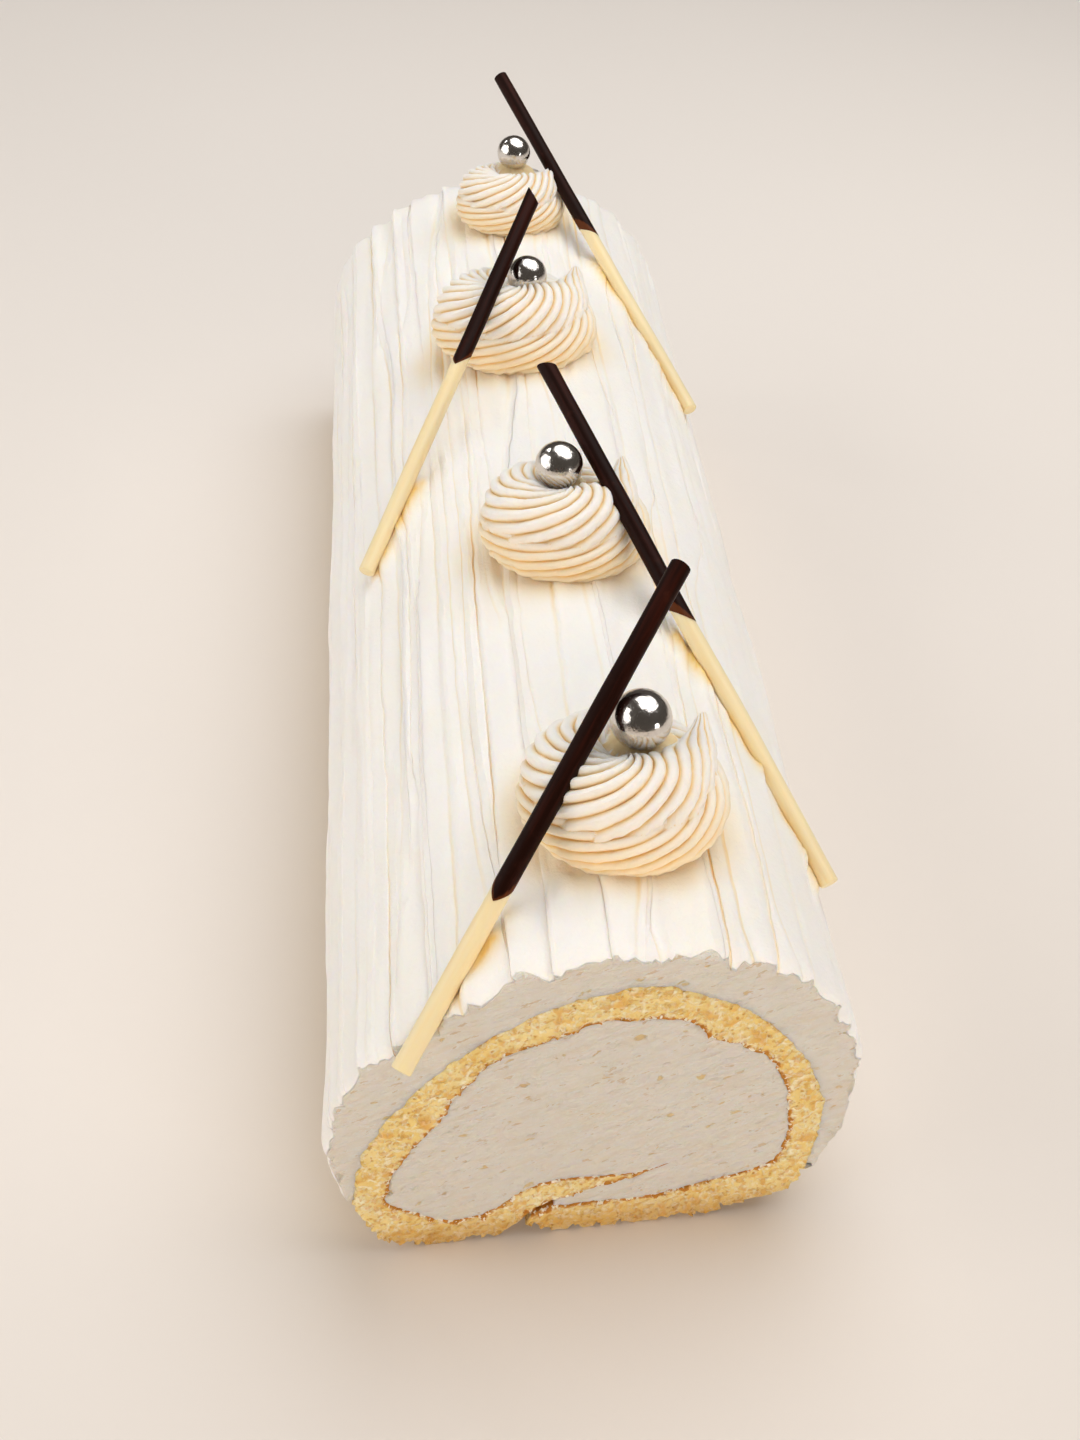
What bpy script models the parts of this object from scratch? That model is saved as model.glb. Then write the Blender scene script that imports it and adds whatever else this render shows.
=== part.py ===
"""Cream-filled swiss roll.

A sheet of sponge is rolled round soft cream and coated with combed cream. Four piped rosettes
stand along its top. Each carries a silver sugar ball, and a two-tone chocolate stick leans on it.
Lengths are in metres and +Z is up. +Y runs along the roll, away from the cut with the stick over
it. The origin is on the base, under the middle of the roll.
"""

import math
import random

import bmesh
import bpy
from mathutils import Matrix, Vector

MM = 0.001

# The whole roll
ROLL_LENGTH = 286 * MM
FRONT_SKEW = math.tan(math.radians(4.2))
BACK_SKEW = math.tan(math.radians(4.8))
GAP = 0.3 * MM

# Half sections across the roll, as (x, z) in millimetres: the coat's arch from its left foot to
# its right one, then the sponge sheet's outer side, its filled side and the underside of its tongue
COAT_ARCH = (
    (-44.8, 16.8), (-46.8, 25), (-47.3, 35), (-45.6, 45.5), (-41, 54.5), (-34.2, 61.6), (-25.5, 69),
    (-15.5, 74.3), (-4, 77.2), (8, 78), (18.5, 76), (28.5, 71.3), (36.5, 64), (42.3, 54.6),
    (46, 44), (46.9, 33), (45.8, 22), (43.2, 12.8),
)
SPONGE_OUTSIDE = (
    (-12.8, 4.4), (-15, 2.2), (-18, 0), (-29.5, 0), (-35.6, 2.6), (-39.8, 6.3), (-42, 11.5),
    (-42.9, 18), (-42.2, 26), (-39.6, 35), (-34.8, 43.8), (-27.8, 53), (-18.5, 61.2), (-8, 67.2),
    (3, 69.9), (12.8, 67.8), (24, 60.8), (33, 50), (39.8, 37.5), (41.7, 27), (41.6, 18), (40.6, 11),
    (37, 5.4), (30, 2.6), (20.5, 0), (-4, 0), (-8.5, 1.3), (-11.4, 3.2),
)
SPONGE_INSIDE = (
    (-10.4, 6.4), (-6.5, 8.4), (2, 8.4), (10, 8.5), (20, 11), (29, 13.2), (34, 16.2), (35.3, 22),
    (35.2, 29), (33.6, 38), (29.5, 46.5), (23, 52.3), (16.5, 56.2), (12.5, 60.6), (4, 61.2),
    (-1.5, 61.8), (-9, 58.6), (-18, 54.6), (-24.5, 46), (-29.2, 36.5), (-34, 29), (-36.6, 22),
    (-36.6, 15.5), (-31.5, 10.8), (-24, 7.4), (-18, 9.6), (-12.6, 14.6), (-6, 16.9), (4.5, 16.6),
    (10, 17.2), (14.6, 18.8),
)
TONGUE_UNDERSIDE = ((14.6, 18.8), (8, 15.6), (2.5, 13.6), (-3.5, 11.6), (-8.5, 9.2), (-11.6, 6.4))
FILLING_STARTS_AT_X = -6.5 * MM

# The comb leaves overlapping strips. Their edges are distances along the arch from its left foot.
STRIP_EDGES = (
    8, 15, 22, 30, 38.5, 46.5, 54, 61, 70, 76.5, 86.5, 98.8, 106.5, 116, 125, 134.5, 140.5, 146,
    153.5, 163, 171,
)
STRIP_STATIONS = 12
FLANK_STEP = 0.9 * MM
TOP_STEP = 2.7 * MM
EDGE_WANDER = 0.9 * MM
STEP_AT = 0.12

# Each rosette: x, distance from the front cut, radius, stretch across the roll, the direction in
# which its rope of cream ends, seen from above, and how far the ridges turn round the rope, as a
# share of the way that the rope turns round the rosette
ROSETTES = (
    (4.0, 33.5, 17.4, 1.06, 35, 0.70),
    (1.4, 113.0, 16.8, 1.06, 42, 0.60),
    (-2.9, 196.0, 18.2, 1.11, 37, 0.95),
    (0.8, 262.8, 14.4, 1.04, 32, 0.70),
)

# The rope's way round, from its start to its raised tip: degrees before the tip, then how far it
# reaches from the middle, its thickness and the height of its core, as shares of the radius
ROPE_WAY = (
    (-640, 0.80, 0.20, 0.16), (-590, 0.98, 0.36, 0.20), (-450, 1.00, 0.38, 0.22),
    (-360, 1.00, 0.42, 0.27), (-290, 0.99, 0.46, 0.30), (-215, 1.01, 0.49, 0.32),
    (-150, 0.94, 0.50, 0.34), (-105, 0.84, 0.49, 0.36), (-65, 0.80, 0.44, 0.40),
    (-30, 0.87, 0.33, 0.47), (-12, 0.95, 0.20, 0.54), (0, 1.02, 0.07, 0.68),
)
ROPE_RIDGES = 14
ROPE_RIDGE_DEPTH = 0.15
ROPE_STEP = 20

# Each ball: x, distance from the front cut, height of its middle, radius
BALLS = (
    (6.5, 37.1, 95.1, 5.3),
    (-0.1, 115.5, 93.8, 4.9),
    (-0.2, 197.0, 93.3, 4.7),
    (1.7, 268.3, 92.6, 4.4),
)

# Each stick: its two ends as (x, distance from the front cut, z), dark end first, the length of
# its dark half, and the side of the stick, in degrees round it, where the dark half reaches on
STICKS = (
    ((13.7, 54.5, 114.2), (-34.6, -7.4, 60.3), 64.6, 100),
    ((-1.5, 137.4, 104.1), (44.8, 34.0, 56.5), 65.6, 135),
    ((2.3, 212.9, 107.0), (-39.3, 125.0, 59.9), 52.8, 85),
    ((-0.2, 301.5, 100.3), (41.7, 190.3, 60.8), 65.1, 145),
)
STICK_RADIUS = 1.85 * MM
STICK_SIDES = 10
NIB_SLOPE = 2.0

CREAM = ("cream", (0.90, 0.86, 0.78), 0.55, 0.0)
FILLING = ("filling_cream", (0.80, 0.73, 0.64), 0.60, 0.0)
SPONGE = ("sponge", (0.78, 0.58, 0.20), 0.85, 0.0)
DARK = ("dark_chocolate", (0.045, 0.013, 0.008), 0.35, 0.0)
WHITE = ("white_chocolate", (0.86, 0.74, 0.42), 0.35, 0.0)
SILVER = ("silver_sugar", (0.80, 0.79, 0.77), 0.08, 1.0)


def material(finish):
    name, colour, roughness, metallic = finish
    found = bpy.data.materials.get(name)
    if found:
        return found
    made = bpy.data.materials.new(name)
    made.use_nodes = True
    shader = made.node_tree.nodes["Principled BSDF"]
    shader.inputs["Base Color"].default_value = (*colour, 1)
    shader.inputs["Roughness"].default_value = roughness
    shader.inputs["Metallic"].default_value = metallic
    return made


def add_object(name, vertices, faces, finish=CREAM, crease=40):
    """A closed mesh object, with smooth shading up to the crease angle in degrees."""
    mesh = bpy.data.meshes.new(name)
    mesh.from_pydata([tuple(vertex) for vertex in vertices], [], faces)
    edit = bmesh.new()
    edit.from_mesh(mesh)
    bmesh.ops.recalc_face_normals(edit, faces=edit.faces)
    edit.to_mesh(mesh)
    edit.free()
    mesh.shade_smooth()
    mesh.set_sharp_from_angle(angle=math.radians(crease))
    mesh.materials.append(material(finish))
    made = bpy.data.objects.new(name, mesh)
    bpy.context.scene.collection.objects.link(made)
    return made


def use_tools(target, operation, tools, solver="EXACT"):
    """Joins the tools to the target, or cuts them from it, and removes them."""
    group = bpy.data.collections.new("tools")
    for tool in tools:
        group.objects.link(tool)
    boolean = target.modifiers.new(operation, "BOOLEAN")
    boolean.operation = operation
    boolean.operand_type = "COLLECTION"
    boolean.collection = group
    boolean.solver = solver
    bpy.context.view_layer.update()
    result = target.evaluated_get(bpy.context.evaluated_depsgraph_get())
    mesh = bpy.data.meshes.new_from_object(result)
    target.modifiers.clear()
    target.data = mesh
    bpy.data.collections.remove(group)
    for tool in tools:
        bpy.data.objects.remove(tool)


def keep_largest(target):
    """Removes the loose slivers that a cut can leave."""
    edit = bmesh.new()
    edit.from_mesh(target.data)
    pieces = []
    unseen = set(edit.faces)
    while unseen:
        piece = set()
        spreading = [unseen.pop()]
        while spreading:
            face = spreading.pop()
            piece.add(face)
            for edge in face.edges:
                for neighbour in edge.link_faces:
                    if neighbour in unseen:
                        unseen.remove(neighbour)
                        spreading.append(neighbour)
        pieces.append(piece)
    pieces.sort(key=len)
    for piece in pieces[:-1]:
        corners = {corner for face in piece for corner in face.verts}
        bmesh.ops.delete(edit, geom=list(corners), context="VERTS")
    edit.to_mesh(target.data)
    edit.free()


def smooth_line(points_mm, steps):
    """Points on a smooth curve through the given points, which are in millimetres."""
    points = [Vector(point) * MM for point in points_mm]
    points = [2 * points[0] - points[1], *points, 2 * points[-1] - points[-2]]
    line = []
    for before, start, end, after in zip(points, points[1:], points[2:], points[3:]):
        for step in range(steps):
            t = step / steps
            line.append(
                start
                + (end - before) * (t / 2)
                + (before * 2 - start * 5 + end * 4 - after) * (t * t / 2)
                + (start * 3 - before - end * 3 + after) * (t**3 / 2)
            )
    line.append(points[-2])
    return line


def rest_on_base(line):
    return [Vector((point.x, max(point.y, 0))) for point in line]


def grown(line, distance):
    """The line moved to its left by a distance, as seen walking along it."""
    moved = []
    for index, point in enumerate(line):
        before = line[max(index - 1, 0)]
        after = line[min(index + 1, len(line) - 1)]
        arriving = (point - before).normalized() if index else (after - point).normalized()
        leaving = (after - point).normalized() if index < len(line) - 1 else arriving
        middle = (arriving + leaving).normalized()
        widening = 1 / max(middle.dot(leaving), 0.4)
        moved.append(point + Vector((-middle.y, middle.x)) * distance * widening)
    return moved


def along_roll(x, share):
    """The y of a point at x, a share of the way from the front cut to the back one."""
    front = -ROLL_LENGTH / 2 + x * FRONT_SKEW
    back = ROLL_LENGTH / 2 - x * BACK_SKEW
    return front + (back - front) * share


def from_front(x, distance, z):
    """A place given in millimetres, with its distance from the front cut's middle."""
    return Vector((x * MM, distance * MM - ROLL_LENGTH / 2, z * MM))


def in_roll(outline, share):
    return [Vector((point.x, along_roll(point.x, share), point.y)) for point in outline]


def prism(name, outline, finish):
    """An outline across the roll, carried from its front cut to its back one."""
    count = len(outline)
    vertices = in_roll(outline, 0) + in_roll(outline, 1)
    faces = [list(range(count)), list(range(2 * count - 1, count - 1, -1))]
    for index in range(count):
        after = (index + 1) % count
        faces.append([index, after, after + count, index + count])
    return add_object(name, vertices, faces, finish)


class Arch:
    """The coat's smooth arch, measured along its length from the left foot."""

    def __init__(self):
        self.points = smooth_line(COAT_ARCH, 8)
        self.lengths = [0]
        for start, end in zip(self.points, self.points[1:]):
            self.lengths.append(self.lengths[-1] + (end - start).length)
        self.length = self.lengths[-1]

    def at(self, distance):
        """The point at a distance along the arch, and the outward direction there."""
        for index in range(len(self.points) - 1):
            if distance <= self.lengths[index + 1]:
                break
        start, end = self.points[index], self.points[index + 1]
        part = (distance - self.lengths[index]) / (self.lengths[index + 1] - self.lengths[index])
        step = (end - start).normalized()
        return start.lerp(end, part), Vector((-step.y, step.x))

    def height(self, x):
        """The coat's mean height over a point near the middle of the base."""
        for start, end in zip(self.points, self.points[1:]):
            if start.x <= x <= end.x:
                return start.lerp(end, (x - start.x) / (end.x - start.x)).y
        return 0


class Strips:
    """The combed strips: where their edges wander along the roll, and how high they step."""

    def __init__(self, arch):
        draw = random.Random(11)
        self.arch = arch
        self.edges = [0, *(edge * MM for edge in STRIP_EDGES), arch.length]
        self.waves = [(draw.uniform(0, 6.28), draw.uniform(0, 6.28)) for _ in self.edges]
        self.depths = [draw.uniform(0.8, 1.2) for _ in self.edges]
        self.apex = max(arch.points, key=lambda point: point.y)

    def edge(self, index, share):
        """An edge's distance along the arch: on its drawn place at the front, wandering behind."""
        if index in (0, len(self.edges) - 1):
            return self.edges[index]
        slow, quick = self.waves[index]
        drift = math.sin(5.5 * share + slow) - math.sin(slow)
        ripple = math.sin(19 * share + quick) - math.sin(quick)
        return self.edges[index] + EDGE_WANDER * (0.7 * drift + 0.35 * ripple)

    def step(self, index, share, facing_up):
        """How far a strip stands above the one that it overlaps."""
        slow, quick = self.waves[index]
        rising = min(max((facing_up - 0.1) / 0.4, 0), 1)
        fade = 0.85 + 0.15 * math.cos(7 * share + quick)
        return (FLANK_STEP + (TOP_STEP - FLANK_STEP) * rising) * self.depths[index] * fade

    def outline(self, share, grow=0):
        """The coat's outer line at a share of the length: a valley, a middle and a crest a strip."""
        line = []
        for index in range(len(self.edges) - 1):
            start, end = self.edge(index, share), self.edge(index + 1, share)
            middle, outward = self.arch.at((start + end) / 2)
            step = self.step(index, share, outward.y)
            if middle.x < self.apex.x:
                marks = ((0, -0.5), (STEP_AT, 0.5), (0.55, 0.1))
            else:
                marks = ((0, -0.5), (0.45, 0.1), (1 - STEP_AT, 0.5))
            for part, rise in marks:
                place, outward = self.arch.at(start + (end - start) * part)
                at_foot = index == 0 and part == 0
                line.append(place + outward * (grow + (0 if at_foot else step * rise)))
        place, outward = self.arch.at(self.arch.length)
        line.append(place + outward * grow)
        return line


def make_coat(strips, lining):
    """The combed coat: strips outside, and the sponge's shape, with a gap, inside."""
    rings = [in_roll(strips.outline(k / STRIP_STATIONS), k / STRIP_STATIONS)
             for k in range(STRIP_STATIONS + 1)]
    width = len(rings[0])
    vertices = [vertex for ring in rings for vertex in ring]
    faces = []
    for ring in range(STRIP_STATIONS):
        for index in range(width - 1):
            here = ring * width + index
            faces.append([here, here + width, here + width + 1, here + 1])
    front_lining = list(range(len(vertices), len(vertices) + len(lining)))
    back_lining = [index + len(lining) for index in front_lining]
    vertices += in_roll(lining, 0) + in_roll(lining, 1)
    for index in range(len(lining) - 1):
        faces.append([front_lining[index], front_lining[index + 1],
                      back_lining[index + 1], back_lining[index]])
    last = STRIP_STATIONS * width
    faces.append(list(range(width)) + front_lining[::-1])
    faces.append(list(range(last + width - 1, last - 1, -1)) + back_lining)
    for foot, end in ((0, 0), (width - 1, -1)):
        for ring in range(STRIP_STATIONS):
            faces.append([foot + ring * width, foot + (ring + 1) * width, front_lining[end]])
        faces.append([foot + last, back_lining[end], front_lining[end]])
    return add_object("cream_coat", vertices, faces, CREAM, crease=25)


def make_bed(strips):
    """Everything under the coat's outer surface, grown by the gap, to shape what lies on it."""
    rings = [in_roll(strips.outline(k / STRIP_STATIONS, GAP), k / STRIP_STATIONS)
             for k in range(STRIP_STATIONS + 1)]
    return add_object("bed", *loft(rings))


def loft(rings):
    """The vertices and faces of a closed body through rings of equal count."""
    width = len(rings[0])
    vertices = [vertex for ring in rings for vertex in ring]
    faces = []
    for ring in range(len(rings) - 1):
        for index in range(width):
            here = ring * width + index
            after = ring * width + (index + 1) % width
            faces.append([here, after, after + width, here + width])
    faces.append(list(range(width - 1, -1, -1)))
    faces.append(list(range((len(rings) - 1) * width, len(rings) * width)))
    return vertices, faces


def on_way(degrees):
    """How far the rope reaches, its thickness and its core's height, at degrees before its tip."""
    for before, after in zip(ROPE_WAY, ROPE_WAY[1:]):
        if degrees <= after[0]:
            break
    part = (degrees - before[0]) / (after[0] - before[0])
    return [start + (end - start) * part for start, end in zip(before[1:], after[1:])]


def rope_ring(centre, outward, room, radius, ridge_turn):
    """One star-shaped section of the rope, which never reaches past the rosette's middle."""
    ring = []
    for index in range(2 * ROPE_RIDGES):
        angle = ridge_turn + math.pi * index / ROPE_RIDGES
        reach = radius * (1 if index % 2 else 1 - ROPE_RIDGE_DEPTH)
        across = max(reach * math.cos(angle), -room)
        ring.append(centre + outward * across + Vector((0, 0, reach * math.sin(angle))))
    return ring


def make_rosette(name, arch, row, ball_row):
    """A rope of cream, piped in a closing and rising turn over a round heart."""
    x, distance, radius, stretch, tip_direction, twist = row
    radius *= MM
    base = from_front(x, distance, 0)
    base.z = arch.height(base.x)
    first = ROPE_WAY[0][0]
    steps = [first + ROPE_STEP * step for step in range(round(-first / ROPE_STEP) - 1)]
    rings = []
    for degrees in [*steps, -30, -20, -10, 0]:
        reach, thickness, height = on_way(degrees)
        angle = math.radians(tip_direction + degrees)
        outward = Vector((math.cos(angle) * stretch, math.sin(angle), 0))
        centre = base + outward * (reach - thickness) * radius + Vector((0, 0, height * radius))
        room = (reach - thickness - 0.03) * radius
        turned = twist * math.radians(degrees)
        rings.append(rope_ring(centre, outward, room, thickness * radius, turned))
    third = len(rings) // 3
    rosette = add_object(name, *loft(rings[:third + 1]), CREAM, crease=60)
    middle = add_object("middle", *loft(rings[third - 1:2 * third + 1]))
    last = add_object("last", *loft(rings[2 * third - 1:]))
    heart = bmesh.new()
    under_ball = from_front(ball_row[0], ball_row[1], 0)
    under_ball.z = base.z + 0.2 * radius
    rise = (ball_row[2] - 0.65 * ball_row[3]) * MM - under_ball.z
    placed = Matrix.Translation(under_ball)
    size = Matrix.Diagonal((0.58 * radius, 0.55 * radius, rise, 1))
    bmesh.ops.create_uvsphere(heart, u_segments=12, v_segments=6, radius=1, matrix=placed @ size)
    mesh = bpy.data.meshes.new("heart")
    heart.to_mesh(mesh)
    heart.free()
    heart_object = bpy.data.objects.new("heart", mesh)
    bpy.context.scene.collection.objects.link(heart_object)
    use_tools(rosette, "UNION", [middle, last, heart_object], "MANIFOLD")
    return rosette


def make_ball(name, row, grow=0.0):
    x, distance, z, radius = row
    ball = bmesh.new()
    bmesh.ops.create_uvsphere(
        ball, u_segments=20, v_segments=12, radius=radius * MM + grow,
        matrix=Matrix.Translation(from_front(x, distance, z)),
    )
    mesh = bpy.data.meshes.new(name)
    ball.to_mesh(mesh)
    ball.free()
    mesh.shade_smooth()
    mesh.materials.append(material(SILVER))
    made = bpy.data.objects.new(name, mesh)
    bpy.context.scene.collection.objects.link(made)
    return made


def stick_frame(row):
    """The stick's dark end, its direction towards the white end, two sides of it and its length."""
    dark_end, white_end = from_front(*row[0]), from_front(*row[1])
    forward = (white_end - dark_end).normalized()
    side = forward.cross(Vector((0, 0, 1))).normalized()
    return dark_end, forward, side, side.cross(forward), (white_end - dark_end).length


def stick_body(row, start, end, start_slope, end_slope, radius):
    """A round length of a stick. Each end is square or, where it has a slope, cut like a nib."""
    origin, forward, side, up, _ = stick_frame(row)
    nib = math.radians(row[3])
    rings = []
    for place, slope in ((start, start_slope), (end, end_slope)):
        ring = []
        for index in range(STICK_SIDES):
            angle = 2 * math.pi * index / STICK_SIDES
            round_it = side * math.cos(angle) + up * math.sin(angle)
            reach = place + slope * STICK_RADIUS * math.cos(angle - nib)
            ring.append(origin + forward * reach + round_it * radius)
        rings.append(ring)
    return loft(rings)


def make_stick(name, row):
    """A dark half with a nib, and the white half that comes out of it."""
    length = stick_frame(row)[4]
    change = row[2] * MM - NIB_SLOPE * STICK_RADIUS
    dark = stick_body(row, 0, change, 0.3, NIB_SLOPE, STICK_RADIUS)
    white = stick_body(row, change + GAP * 2.4, length, NIB_SLOPE, 0, STICK_RADIUS * 0.96)
    add_object(name + "_dark", *dark, DARK, crease=50)
    add_object(name + "_white", *white, WHITE, crease=50)


def stick_groove(row):
    """A stick grown by the gap, to press its groove into the cream."""
    length = stick_frame(row)[4]
    return add_object("groove", *stick_body(row, -GAP * 4, length + GAP * 2, 0, 0, STICK_RADIUS + GAP))


def main():
    for leftover in list(bpy.data.objects):
        bpy.data.objects.remove(leftover)

    outside = rest_on_base(smooth_line(SPONGE_OUTSIDE, 3))
    inside = smooth_line(SPONGE_INSIDE, 3)
    underside = smooth_line(TONGUE_UNDERSIDE, 3)
    prism("sponge", outside + inside + underside[1:], SPONGE)

    over_layer = [point for index, point in enumerate(inside)
                  if point.x > FILLING_STARTS_AT_X or index > len(inside) // 3]
    under_tongue = [point for point in underside if point.x > FILLING_STARTS_AT_X]
    prism("filling", grown(over_layer + under_tongue[1:], GAP), FILLING)

    arch = Arch()
    strips = Strips(arch)
    left_foot, right_foot = COAT_ARCH[0][1] * MM, COAT_ARCH[-1][1] * MM
    over = [point for point in outside
            if point.y > (left_foot if point.x < 0 else right_foot) + GAP]
    coat = make_coat(strips, grown(over, GAP))
    use_tools(coat, "DIFFERENCE", [stick_groove(row) for row in STICKS])

    for index, row in enumerate(ROSETTES):
        rosette = make_rosette(f"rosette_{index + 1}", arch, row, BALLS[index])
        seat = make_ball("seat", BALLS[index], GAP)
        grooves = [stick_groove(stick) for stick in STICKS]
        use_tools(rosette, "DIFFERENCE", [make_bed(strips), seat, *grooves], "MANIFOLD")
        keep_largest(rosette)
        make_ball(f"ball_{index + 1}", BALLS[index])
        make_stick(f"stick_{index + 1}", STICKS[index])


main()
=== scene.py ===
# %% [markdown]
# # Cream-filled swiss roll
#
# A sheet of sponge rolled round soft cream and coated with combed cream. Four piped rosettes stand
# along its top, each with a silver sugar ball and a leaning stick of dark and white chocolate.
# The plain solids are loaded first, and each cell then replaces some of them with a finished piece
# of the same size. Lengths are in metres, +Z is up, and +Y runs along the roll, away from the
# cut that faces the camera.

# %% Load the plain solids
import math
import random

import bmesh
import bpy
import numpy as np
from mathutils import Matrix, Vector, geometry, kdtree


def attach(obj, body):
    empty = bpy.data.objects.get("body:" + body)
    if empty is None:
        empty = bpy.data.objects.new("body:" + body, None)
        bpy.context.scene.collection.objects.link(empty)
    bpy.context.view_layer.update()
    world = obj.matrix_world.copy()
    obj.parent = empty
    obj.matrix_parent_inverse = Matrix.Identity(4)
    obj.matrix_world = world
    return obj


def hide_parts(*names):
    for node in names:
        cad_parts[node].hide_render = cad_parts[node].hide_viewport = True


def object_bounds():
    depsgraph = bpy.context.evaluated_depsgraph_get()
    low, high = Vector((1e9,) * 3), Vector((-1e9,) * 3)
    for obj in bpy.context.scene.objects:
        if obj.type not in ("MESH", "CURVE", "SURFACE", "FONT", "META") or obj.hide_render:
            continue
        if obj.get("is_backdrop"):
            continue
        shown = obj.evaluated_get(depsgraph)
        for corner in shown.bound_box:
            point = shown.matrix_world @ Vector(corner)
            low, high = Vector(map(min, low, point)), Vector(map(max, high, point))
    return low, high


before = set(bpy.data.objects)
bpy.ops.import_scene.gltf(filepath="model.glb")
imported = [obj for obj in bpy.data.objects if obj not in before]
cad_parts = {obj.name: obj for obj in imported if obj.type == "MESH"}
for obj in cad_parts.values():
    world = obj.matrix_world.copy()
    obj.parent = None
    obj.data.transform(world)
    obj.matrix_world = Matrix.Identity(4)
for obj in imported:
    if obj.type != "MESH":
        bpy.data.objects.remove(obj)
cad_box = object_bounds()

MM = 0.001


def show_box(words, box):
    print(words, [[round(v, 4) for v in corner] for corner in box])


print(len(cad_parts), "solids")
show_box("plain box", cad_box)

# %% [markdown]
# ## The camera
#
# The camera looks down on the front cut from a little to the left. Its place, its lens and its
# slight lean come from the roll's outlines. Without the lean, the long sides don't line up.

# %% Camera
PITCH, YAW, LEAN = (math.radians(angle) for angle in (41.749, 7.525, 4.17))
EYE = Vector((-38.2, -315.3, 283.8)) * MM
LENS, SENSOR_WIDTH = 42.5, 36

ahead = Vector((math.sin(YAW) * math.cos(PITCH), math.cos(YAW) * math.cos(PITCH), -math.sin(PITCH)))
level = Vector((math.cos(YAW), -math.sin(YAW), 0))
upright = level.cross(ahead)
right = math.cos(LEAN) * level + math.sin(LEAN) * upright
up = math.cos(LEAN) * upright - math.sin(LEAN) * level
camera_data = bpy.data.cameras.new("camera")
camera_data.lens, camera_data.sensor_width = LENS, SENSOR_WIDTH
camera_data.clip_start = 10 * MM
camera = bpy.data.objects.new("camera", camera_data)
camera.matrix_world = Matrix.Translation(EYE) @ Matrix((right, up, -ahead)).transposed().to_4x4()
bpy.context.scene.collection.objects.link(camera)
bpy.context.scene.camera = camera
print("camera looks", tuple(round(v, 3) for v in ahead))

# %% [markdown]
# ## Helpers for shapes
#
# The roll is one section carried from the front cut, a share of 0, to the back one, a share of 1.
# Neither cut is quite square to the roll. Each section is a smooth curve through a few points, in
# millimetres, as in the plain solids.

# %% Sections across the roll
ROLL_LENGTH = 286 * MM
FRONT_SKEW, BACK_SKEW = (math.tan(math.radians(angle)) for angle in (4.2, 4.8))

COAT_ARCH = (
    (-44.8, 16.8), (-46.8, 25), (-47.3, 35), (-45.6, 45.5), (-41, 54.5), (-34.2, 61.6), (-25.5, 69),
    (-15.5, 74.3), (-4, 77.2), (8, 78), (18.5, 76), (28.5, 71.3), (36.5, 64), (42.3, 54.6),
    (46, 44), (46.9, 33), (45.8, 22), (43.2, 12.8),
)
SPONGE_OUTSIDE = (
    (-12.8, 4.4), (-15, 2.2), (-18, 0), (-29.5, 0), (-35.6, 2.6), (-39.8, 6.3), (-42, 11.5),
    (-42.9, 18), (-42.2, 26), (-39.6, 35), (-34.8, 43.8), (-27.8, 53), (-18.5, 61.2), (-8, 67.2),
    (3, 69.9), (12.8, 67.8), (24, 60.8), (33, 50), (39.8, 37.5), (41.7, 27), (41.6, 18), (40.6, 11),
    (37, 5.4), (30, 2.6), (20.5, 0), (-4, 0), (-8.5, 1.3), (-11.4, 3.2),
)
SPONGE_INSIDE = (
    (-10.4, 6.4), (-6.5, 8.4), (2, 8.4), (10, 8.5), (20, 11), (29, 13.2), (34, 16.2), (35.3, 22),
    (35.2, 29), (33.6, 38), (29.5, 46.5), (23, 52.3), (16.5, 56.2), (12.5, 60.6), (4, 61.2),
    (-1.5, 61.8), (-9, 58.6), (-18, 54.6), (-24.5, 46), (-29.2, 36.5), (-34, 29), (-36.6, 22),
    (-36.6, 15.5), (-31.5, 10.8), (-24, 7.4), (-18, 9.6), (-12.6, 14.6), (-6, 16.9), (4.5, 16.6),
    (10, 17.2), (14.6, 18.8),
)
TONGUE_UNDERSIDE = ((14.6, 18.8), (8, 15.6), (2.5, 13.6), (-3.5, 11.6), (-8.5, 9.2), (-11.6, 6.4))
POINT_SPACING = 0.5  # millimetres between the points of a smooth line


def distances_along(line):
    """How far along a line each of its points is."""
    return np.append(0, np.cumsum(np.linalg.norm(np.diff(line, axis=0), axis=1)))


def smooth_line(points_mm):
    """Even points on a smooth curve through the given ones, in metres."""
    points = np.array(points_mm) * MM
    points = np.vstack([2 * points[0] - points[1], points, 2 * points[-1] - points[-2]])
    t = np.linspace(0, 1, 24, endpoint=False)[:, None]
    line = []
    for before, start, end, after in zip(points, points[1:], points[2:], points[3:]):
        line.append(
            start + (end - before) * t / 2
            + (2 * before - 5 * start + 4 * end - after) * t**2 / 2
            + (3 * start - before - 3 * end + after) * t**3 / 2
        )
    line = np.vstack([*line, points[-2]])
    along = distances_along(line)
    even = np.linspace(0, along[-1], round(along[-1] / (POINT_SPACING * MM)) + 1)
    return np.column_stack([np.interp(even, along, line[:, axis]) for axis in (0, 1)])


def side_of(line):
    """The direction to the left of each point, as seen walking along the line."""
    step = np.gradient(line, axis=0)
    step /= np.linalg.norm(step, axis=1)[:, None]
    return np.column_stack([-step[:, 1], step[:, 0]])


def along_roll(x, share):
    """The y of points at x, a share of the way from the front cut to the back one."""
    front = -ROLL_LENGTH / 2 + x * FRONT_SKEW
    back = ROLL_LENGTH / 2 - x * BACK_SKEW
    return front + (back - front) * share


def carried(section, share):
    """A section's points, carried a share of the way along the roll."""
    x, z = section[..., 0], section[..., 1]
    return np.stack([x, along_roll(x, share), z], -1)


def from_front(x, distance, z):
    """A place given in millimetres, with its distance from the front cut's middle."""
    return Vector((x * MM, distance * MM - ROLL_LENGTH / 2, z * MM))


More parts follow.
